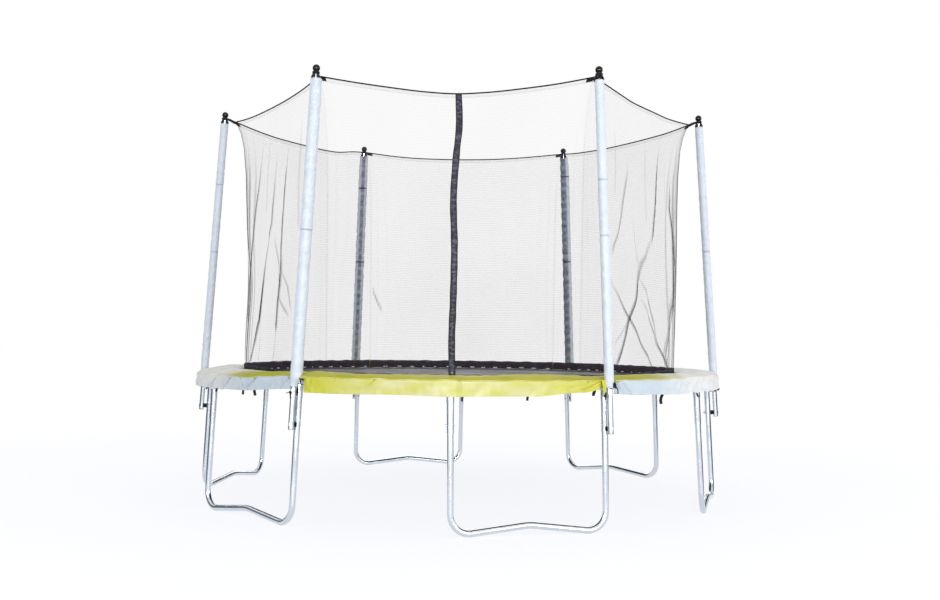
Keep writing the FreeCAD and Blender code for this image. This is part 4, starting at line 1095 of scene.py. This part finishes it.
def pad_skirts():
    """Skirts that hang from the pad's rim: distance out = slack folds that grow towards the loose hem, slanting
    tucks beside the poles, and ends that turn in behind the sleeves."""
    drop = in_rows(17)
    for number, mid in enumerate(SECTIONS):
        first, last = skirt_reach(number)
        angle = mid + np.linspace(-first, last, 420)[None]
        run, to_first, to_last = on_rim(angle - mid), on_rim(angle - mid + first), on_rim(mid + last - angle)
        low = SKIRT_BOTTOM + 0.0035 * uneven(110 + number, (run, 0.6, 2.4))
        if number == 0:
            low = low + 0.022 * step(run, 0.45, 0.80) + 0.022 * step(run, 0.80, 0.93)
        else:
            low = low + 0.010 * (step(to_first, 0.2, 0.0) + step(to_last, 0.2, 0.0))
        rim = 0.002 + rim_level(number, angle)
        low = low + 0.65 * rim_rise(angle) + 0.006 * step(angle, 210.0, 224.0)
        if number:
            low = low + 0.0045 * uneven(240 + number, (run, 4.0, 9.0)) * glare_share(angle)
        height = rim + (low - rim) * drop
        slack = uneven(130 + number, (run, 1.6, 5.0), (drop, 0.1, 0.5))
        fine = uneven(150 + number, (run, 9.0, 22.0), (drop, 0.2, 0.9))
        slant = uneven(170 + number, (run + 0.12 * drop, 4.0, 9.0))
        out = 0.0010 + 0.0040 * slack * drop + 0.0009 * fine * drop ** 0.5 + 0.0016 * slant * drop
        tucks = bell(to_last, 0.10) * np.sin(2 * math.pi * (to_last + 0.07 * drop) / 0.045)
        tucks = tucks + bell(to_first, 0.07) * np.sin(2 * math.pi * (to_first - 0.06 * drop) / 0.050)
        turned_in = step(to_last, 0.045, 0.0) + step(to_first, 0.035, 0.0)
        out = out + 0.0042 * tucks * (0.25 + 0.75 * drop) - 0.017 * turned_in
        if number in (1, 2, 4, 5):
            crumple = uneven(210 + number, (run + 0.10 * drop, 5.0, 13.0), (drop, 0.3, 1.2)) * glare_share(angle)
            out = out + 0.0070 * crumple * drop ** 0.4
        if number == 0:
            out = out - 0.0035 * seam_dip(angle, 0.010)
        crease = creased(number, angle, drop)
        out = out - crease * (0.10 + 0.90 * step(drop, 0.0, 0.25))
        roll = -0.0055 * (1 - step(drop, 0.0, 0.10))
        points = polar(PAD_OUTER + out + roll, angle, height)
        thickness = np.where(drop > 0.86, HEMMED_THICKNESS, COVER_THICKNESS)[..., None]
        blotches = 0.10 * uneven(250 + number, (run, 1.5, 5.0), (drop, 0.3, 1.0))
        # Painted glare whitens the side skirts beside the poles; painted sheen pales the front skirt's middle.
        pale = 0.9 * glare_share(angle)
        if number == 0:
            pale = (0.22 + blotches) * step(run, -0.80, -0.50) * step(run, 0.95, 0.40)
        # Painted shade in the creases' valleys.
        dull = np.clip(26 * crease * (1 if number else 0.4), 0, 0.3)
        loops = sheet(points, thickness, faded=np.clip(pale, 0, 0.9), dull=dull)
        piece = make_piece(f"pad_skirt_{number + 1}", [loops], cover(number), nodes=[f"pad_section_{number + 1}"])


def pad_piping():
    """A sewn bead round the rim, between each top and its skirt."""
    for name, sections in (("front_piping", [0]), ("side_piping", [1, 2, 3, 4, 5])):
        shells = []
        for number in sections:
            first, last = skirt_reach(number)
            angle = SECTIONS[number] + np.linspace(-first, last, 300)
            level = rim_level(number, angle)
            # Painted glare on the side beads; on the front bead an uneven painted highlight.
            pale = glare_share(angle)
            if number == 0:
                level = level - 0.006 * seam_dip(angle)
                pale = 0.3 + 0.3 * uneven(260, (on_rim(angle - SECTIONS[0]), 3, 9))
            path = polar(PAD_OUTER - 0.0002, angle, level)
            shells.append(swept(path, UP, disc(0.0021, 8), faded=np.clip(pale, 0, 0.9)[:, None], dull=0.0))
        make_piece(name, shells, cover(sections[0]))


def pad_tongue():
    """A loose corner of the front cover that hangs beside the right front pole, narrowing to a rounded tip."""
    drop, across = in_rows(22), in_columns(9)
    half = 0.0150 * (1 - 0.55 * drop ** 1.6) * np.sqrt(np.clip(1.02 - drop ** 8, 0.0, 1))
    angle = -61.35 + np.degrees(across * half / PAD_OUTER) + 0.10 * np.sin(3 * drop)
    out = PAD_OUTER + 0.006 + 0.006 * np.sin(3.0 * drop) + 0.0025 * np.cos(2.2 * across + 3 * drop) * drop
    points = polar(out, angle, 0.8900 - 0.0900 * drop)
    piece = make_piece("pad_tongue", [sheet(points, COVER_THICKNESS)], "lime_cover")


# Each loose strap end: its angle on the rim, where its tip is, how far it swings sideways, its curl and its width
STRAP_ENDS = [
    (-145.0, 0.762, 0.014, 0.3, 0.012), (-134.6, 0.760, 0.002, 0.1, 0.014), (-131.4, 0.758, -0.014, 0.2, 0.017),
    (-87.5, 0.766, 0.010, 1.0, 0.012), (-75.8, 0.772, 0.010, 0.5, 0.014), (-62.9, 0.797, 0.004, 0.4, 0.018),
    (-45.4, 0.736, 0.014, 0.8, 0.019), (-32.6, 0.764, -0.014, 0.3, 0.010), (-10.0, 0.766, 0.008, 0.5, 0.012),
    (40.0, 0.766, 0.008, 0.2, 0.012), (95.0, 0.764, -0.010, 0.6, 0.012), (135.0, 0.766, 0.006, 0.2, 0.012),
]

# The height at which they leave the pad
STRAP_ROOT = 0.832


def pad_straps():
    """Loose black strap ends that hang below the skirt, each with its own swing and curl, and broadside on."""
    shells = []
    drop = np.linspace(0, 1, 26)
    for angle, tip, swing, curl, width in STRAP_ENDS:
        height = STRAP_ROOT + (tip - STRAP_ROOT) * drop
        sideways = -swing * drop ** 1.5 + 0.005 * curl * np.sin(2 * math.pi * drop)
        inward = 0.010 * curl * np.sin(math.pi * drop)
        path = polar(PAD_OUTER - 0.0125 - inward, angle, height)
        path[:, 0] += math.copysign(1, math.sin(math.radians(-angle))) * sideways
        shells.append(swept(path, np.array([1.0, 0.12, 0]), strip(width, 0.0021)))
    make_piece("pad_strap_ends", shells, "black_webbing", nodes=["pad_straps"])


# Each knot at a pole's foot: the pole's number, its height, its distances outward and sideways, its size, and how
# far its two tails reach sideways and down
KNOTS = [
    (5, 0.792, 0.022, -0.006, 0.0075, ((-0.030, 0.006), (0.002, 0.036))),
    (5, 0.874, 0.024, 0.062, 0.0050, ((0.014, 0.010), (0.004, 0.024))),
    (5, 0.796, 0.026, 0.050, 0.0085, ((0.002, 0.022), (-0.001, 0.018))),
    (0, 0.858, 0.026, 0.018, 0.0125, ((0.026, 0.050), (0.010, 0.022))),
    (0, 0.797, 0.016, -0.045, 0.0085, ((-0.002, 0.018), (0.002, 0.024))),
    (1, 0.776, 0.024, -0.018, 0.0120, ((-0.006, 0.012), (-0.002, 0.016))),
    (1, 0.766, -0.028, -0.020, 0.0080, ((-0.006, 0.010), (0.004, 0.012))),
    (4, 0.738, -0.030, 0.020, 0.0080, ((0.006, 0.012), (0.002, 0.014))),
    (2, 0.836, -0.020, 0.026, 0.0080, ((0.010, 0.024), (0.004, 0.030))),
    (3, 0.836, -0.020, -0.026, 0.0080, ((-0.010, 0.024), (-0.004, 0.030))),
]


def foot_ties():
    """The pad's ties: a cord round each pole, close under its sleeve's end, and lumpy knots with two tails."""
    shells = []
    turn = turns(32)
    cord_round, cord = 0.0188, disc(0.0018, 8)
    out, aside = cord_round * np.cos(turn), cord_round * np.sin(turn)
    for k, angle in enumerate(POLES):
        level = SLEEVE_ENDS[k][0] - 0.0015
        loop = on_pole(angle, level + 0.001 * np.sin(2 * turn + k), out, aside)
        outward = unit(loop - on_pole(angle, level, 0.0, 0.0))
        shells.append(ring_shell(loop[:, None] + outward[:, None] * cord[:, :1] + pole_axes(angle)[2] * cord[:, 1:]))
    drop = np.linspace(0, 1, 14)
    for k, height, out, aside, size, tails in KNOTS:
        centre = on_pole(POLES[k], height, out, aside)
        lump = ball(size, size * 0.8, size * 1.25)
        lump = lump * (1 + 0.16 * np.sin(lump[..., :1] * 900 + 2.0) * np.cos(lump[..., 2:] * 700 + k))
        shells.append(shell(centre + lump))
        for sideways, down in tails:
            bow = 0.3 * abs(sideways) * np.sin(math.pi * drop)
            path = centre + pole_axes(POLES[k])[1] * (sideways * drop + bow)[:, None]
            path = path + UP * (0.004 * np.sin(math.pi * drop) - down * drop)[:, None]
            shells.append(swept(path, np.array([1.0, 0.2, 0]), strip(0.0065, 0.0022, 8)))
    make_piece("foot_ties", shells, "black_webbing")


# Bed and springs


def bed():
    """A tight round sheet with a doubled hem, its edge drawn out a little at each ring."""
    turn = turns(432)
    line = arcs(
        (0.003, 0.8515), (0.8, 0.8515), (1.5, 0.8515), (1.554, 0.8515), (1.556, 0.8529), (1.594, 0.8530),
        (1.595, 0.8520), (1.595, 0.8480), (1.594, 0.8470), (1.556, 0.8471), (1.554, 0.8485),
        (1.5, 0.8485), (0.8, 0.8485), (0.003, 0.8485),
    )
    share = step(line[:, 0], 1.55, 1.595)[:, None]
    radius = line[:, :1] - share * (0.0018 - 0.0018 * np.cos(SPRING_COUNT * turn + math.pi))
    points = polar(radius, np.degrees(turn), line[:, 1:])
    piece = make_piece("bed_sheet", [shell(points)], "bed_weave", "bed", ["bed_mat"], 40)


def springs():
    """Close-wound coils with a straight hook at each end, in groups of three."""
    windings, steps, coil_radius = 26, 8, 0.0092
    a = np.linspace(0, 2 * math.pi * windings, windings * steps + 1)
    away = np.linspace(*SPRING_ENDS, len(a))
    coil = np.stack([away, coil_radius * np.cos(a), RING_HEIGHT + coil_radius * np.sin(a)], -1)
    inner = curve_through([
        (1.617, 0, 0.8465), (1.6172, 0, 0.8535), (1.621, 0, 0.8555), (1.627, 0, 0.8535), (1.632, 0.003, 0.8535),
    ], 14)
    outer = curve_through([
        (1.768, 0.003, 0.8465), (1.773, 0, 0.8465), (1.7775, 0, 0.8465), (1.7795, 0, 0.8500), (1.7780, 0, 0.8540),
    ], 14)
    lines = [(coil, (1.0, 0, 0), 4), (inner, (0, 1.0, 0), 8), (outer, (0, 1.0, 0), 8)]
    group = 3
    for g in range(SPRING_COUNT // group):
        shells = []
        for i in range(group):
            angle = math.radians(360 / SPRING_COUNT * (g * group + i + 0.5))
            spin = np.array([[math.cos(angle), math.sin(angle), 0], [-math.sin(angle), math.cos(angle), 0], [0, 0, 1]])
            for line, side, sides in lines:
                shells.append(shell(carried(line, side, disc(WIRE_RADIUS, sides)) @ spin))
        piece = make_mesh(f"springs_{g + 1}", shells, FINISHES["spring_steel"], 80)
        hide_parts("springs")
        middle = 360 / SPRING_COUNT * (g * group + group / 2)
        polar(1.768, middle, RING_HEIGHT)
        polar(1.628, middle, RING_HEIGHT)
        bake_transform(piece)


def dress_nodes():
    """Each node that stays gets its slot's finish."""
    for subpart in frame["record"]["subparts"]:
        node = frame["nodes"][subpart["node"]]
        node.data.materials.clear()
        node.data.materials.append(FINISHES[subpart["material_slot"]])


# Stage, lights and camera


def white_world():
    """White to the camera and in reflections, and a dimmer even light on everything."""
    world = bpy.data.worlds.new("studio")
    bpy.context.scene.world = world
    world.use_nodes = True
    n = Nodes(world.node_tree)
    seen, unseen = (n.plain("Background", (level, level, level)) for level in (1.0, 0.40))
    n.feed(n.tree.nodes["World Output"], {"Surface": n.by_ray(seen, unseen)})


def flat_plane(name, corners):
    """One flat face of the stage, through four corners."""
    mesh = bpy.data.meshes.new(name)
    mesh.from_pydata([tuple(c) for c in corners], [], [(0, 1, 2, 3)])
    plane = bpy.data.objects.new(name, mesh)
    bpy.context.scene.collection.objects.link(plane)
    return plane


def pale_floor():
    """A near-white floor: partly its own shade, so that it stays pale, and partly lit, so that it takes shadows."""
    half, level = 60.0, -0.0005
    floor = flat_plane("floor", [(x * half, y * half, level) for x, y in ((-1, -1), (1, -1), (1, 1), (-1, 1))])
    f = Finish("floor")
    shade = f.mix(f.scaled(f.length(f.places.outputs["Object"]), 2.2, 8.5), (0.88, 0.885, 0.92), (0.953, 0.953, 0.953))
    glow = f.add("Emission", {"Color": shade}).outputs[0]
    seen = f.add("AddShader", {0: f.plain("BsdfDiffuse", (0.12, 0.12, 0.12)), 1: glow}).outputs[0]
    unseen = f.plain("BsdfDiffuse", (0.86, 0.86, 0.86))
    floor.data.materials.append(f.surface(f.by_ray(seen, unseen)))


def reflected_card(name, level, strength, corners):
    """A plain card that only reflections see."""
    f = Finish(name)
    card = flat_plane(name, corners)
    card.data.materials.append(f.surface(f.plain("Emission", level, Strength=strength)))
    for ray in ("camera", "diffuse", "transmission", "shadow", "volume_scatter"):
        setattr(card, "visible_" + ray, False)


def studio_cards():
    """Dark cards behind the object and close beside it, which draw the tubes' dark lines, and a bright one over the
    camera, which draws the highlights on the caps."""
    up = 5.0 * UP
    for word, side in (("left", 1), ("right", -1)):
        near, far = (polar(9.0, 90 + side * turn, 0.0) for turn in (13, 40))
        reflected_card(f"card_back_{word}", (0.06, 0.065, 0.08), 1.0, [near, far, far + up, near + up])
    for word, x, first, last, level in (
        ("left", -3.4, -2.5, 1.0, (0.15, 0.17, 0.20)), ("right", 3.4, -1.5, 1.2, (0.12, 0.14, 0.18)),
    ):
        near, far = np.array([x, first, 0.0]), np.array([x, last, 0.0])
        reflected_card(f"card_side_{word}", level, 1.0, [near, far, far + 0.3 * up, near + 0.3 * up])
    low, high = np.array([-1.4, -8.9, 1.3]), np.array([1.7, -8.9, 3.6])
    across = np.array([high[0] - low[0], 0, 0])
    reflected_card("card_front", (1.0, 1.0, 1.0), 50.0, [low, low + across, high, high - across])


def soft_lamps():
    """Large soft lamps round the object, each with its place, its size in metres and its power in watts."""
    for name, place, size, power in (
        ("key", (-4.2, -7.2, 3.0), 3.0, 175),
        ("fill", (4.8, -6.8, 2.6), 3.0, 215),
        ("back", (0.0, 7.5, 4.0), 5.0, 90),
        ("right", (8.2, -1.0, 2.6), 3.5, 78),
        ("top", (0.0, 0.0, 6.2), 5.0, 88),
    ):
        lamp = bpy.data.lights.new(name, "AREA")
        lamp.size = size
        lamp.energy = power
        holder = bpy.data.objects.new(name, lamp)
        holder.location = place
        aim = Vector((0, 0, 1.2)) - Vector(place)
        holder.rotation_euler = aim.to_track_quat("-Z", "Y").to_euler()
        bpy.context.scene.collection.objects.link(holder)


def camera():
    """Stands at the photograph's place: turned and tipped up a little, and rolled by under a degree."""
    turned, tipped, rolled = (math.radians(a) for a in (1.384, 2.339, 0.689))
    forward = Vector((-math.sin(turned) * math.cos(tipped), math.cos(turned) * math.cos(tipped), math.sin(tipped)))
    level = Vector((math.cos(turned), math.sin(turned), 0))
    upright = level.cross(forward)
    right = level * math.cos(rolled) + upright * math.sin(rolled)
    up = upright * math.cos(rolled) - level * math.sin(rolled)
    data = bpy.data.cameras.new("camera")
    data.sensor_width = 36.0
    data.lens = 43.49
    data.shift_x = 0.01436
    data.shift_y = -0.0133
    data.clip_end = 200.0
    holder = bpy.data.objects.new("camera", data)
    turn = Matrix((right, up, -forward)).transposed()
    holder.matrix_world = Matrix.Translation((0.185, -8.282, 1.148)) @ turn.to_4x4()
    bpy.context.scene.collection.objects.link(holder)
    bpy.context.scene.camera = holder


dress_nodes()
sleeves()
caps()
webbing = corner_straps()
panels = net_panels()
hem, binding = net_hems()
band = net_band()
band_stitches()
net_ties()
zip_fastening()
pad_tops()
pad_skirts()
pad_piping()
pad_tongue()
pad_straps()
foot_ties()
bed()
springs()
white_world()
pale_floor()
studio_cards()
soft_lamps()
camera()
scene = bpy.context.scene
scene.view_settings.view_transform = "Standard"
scene.cycles.transparent_max_bounces = 64
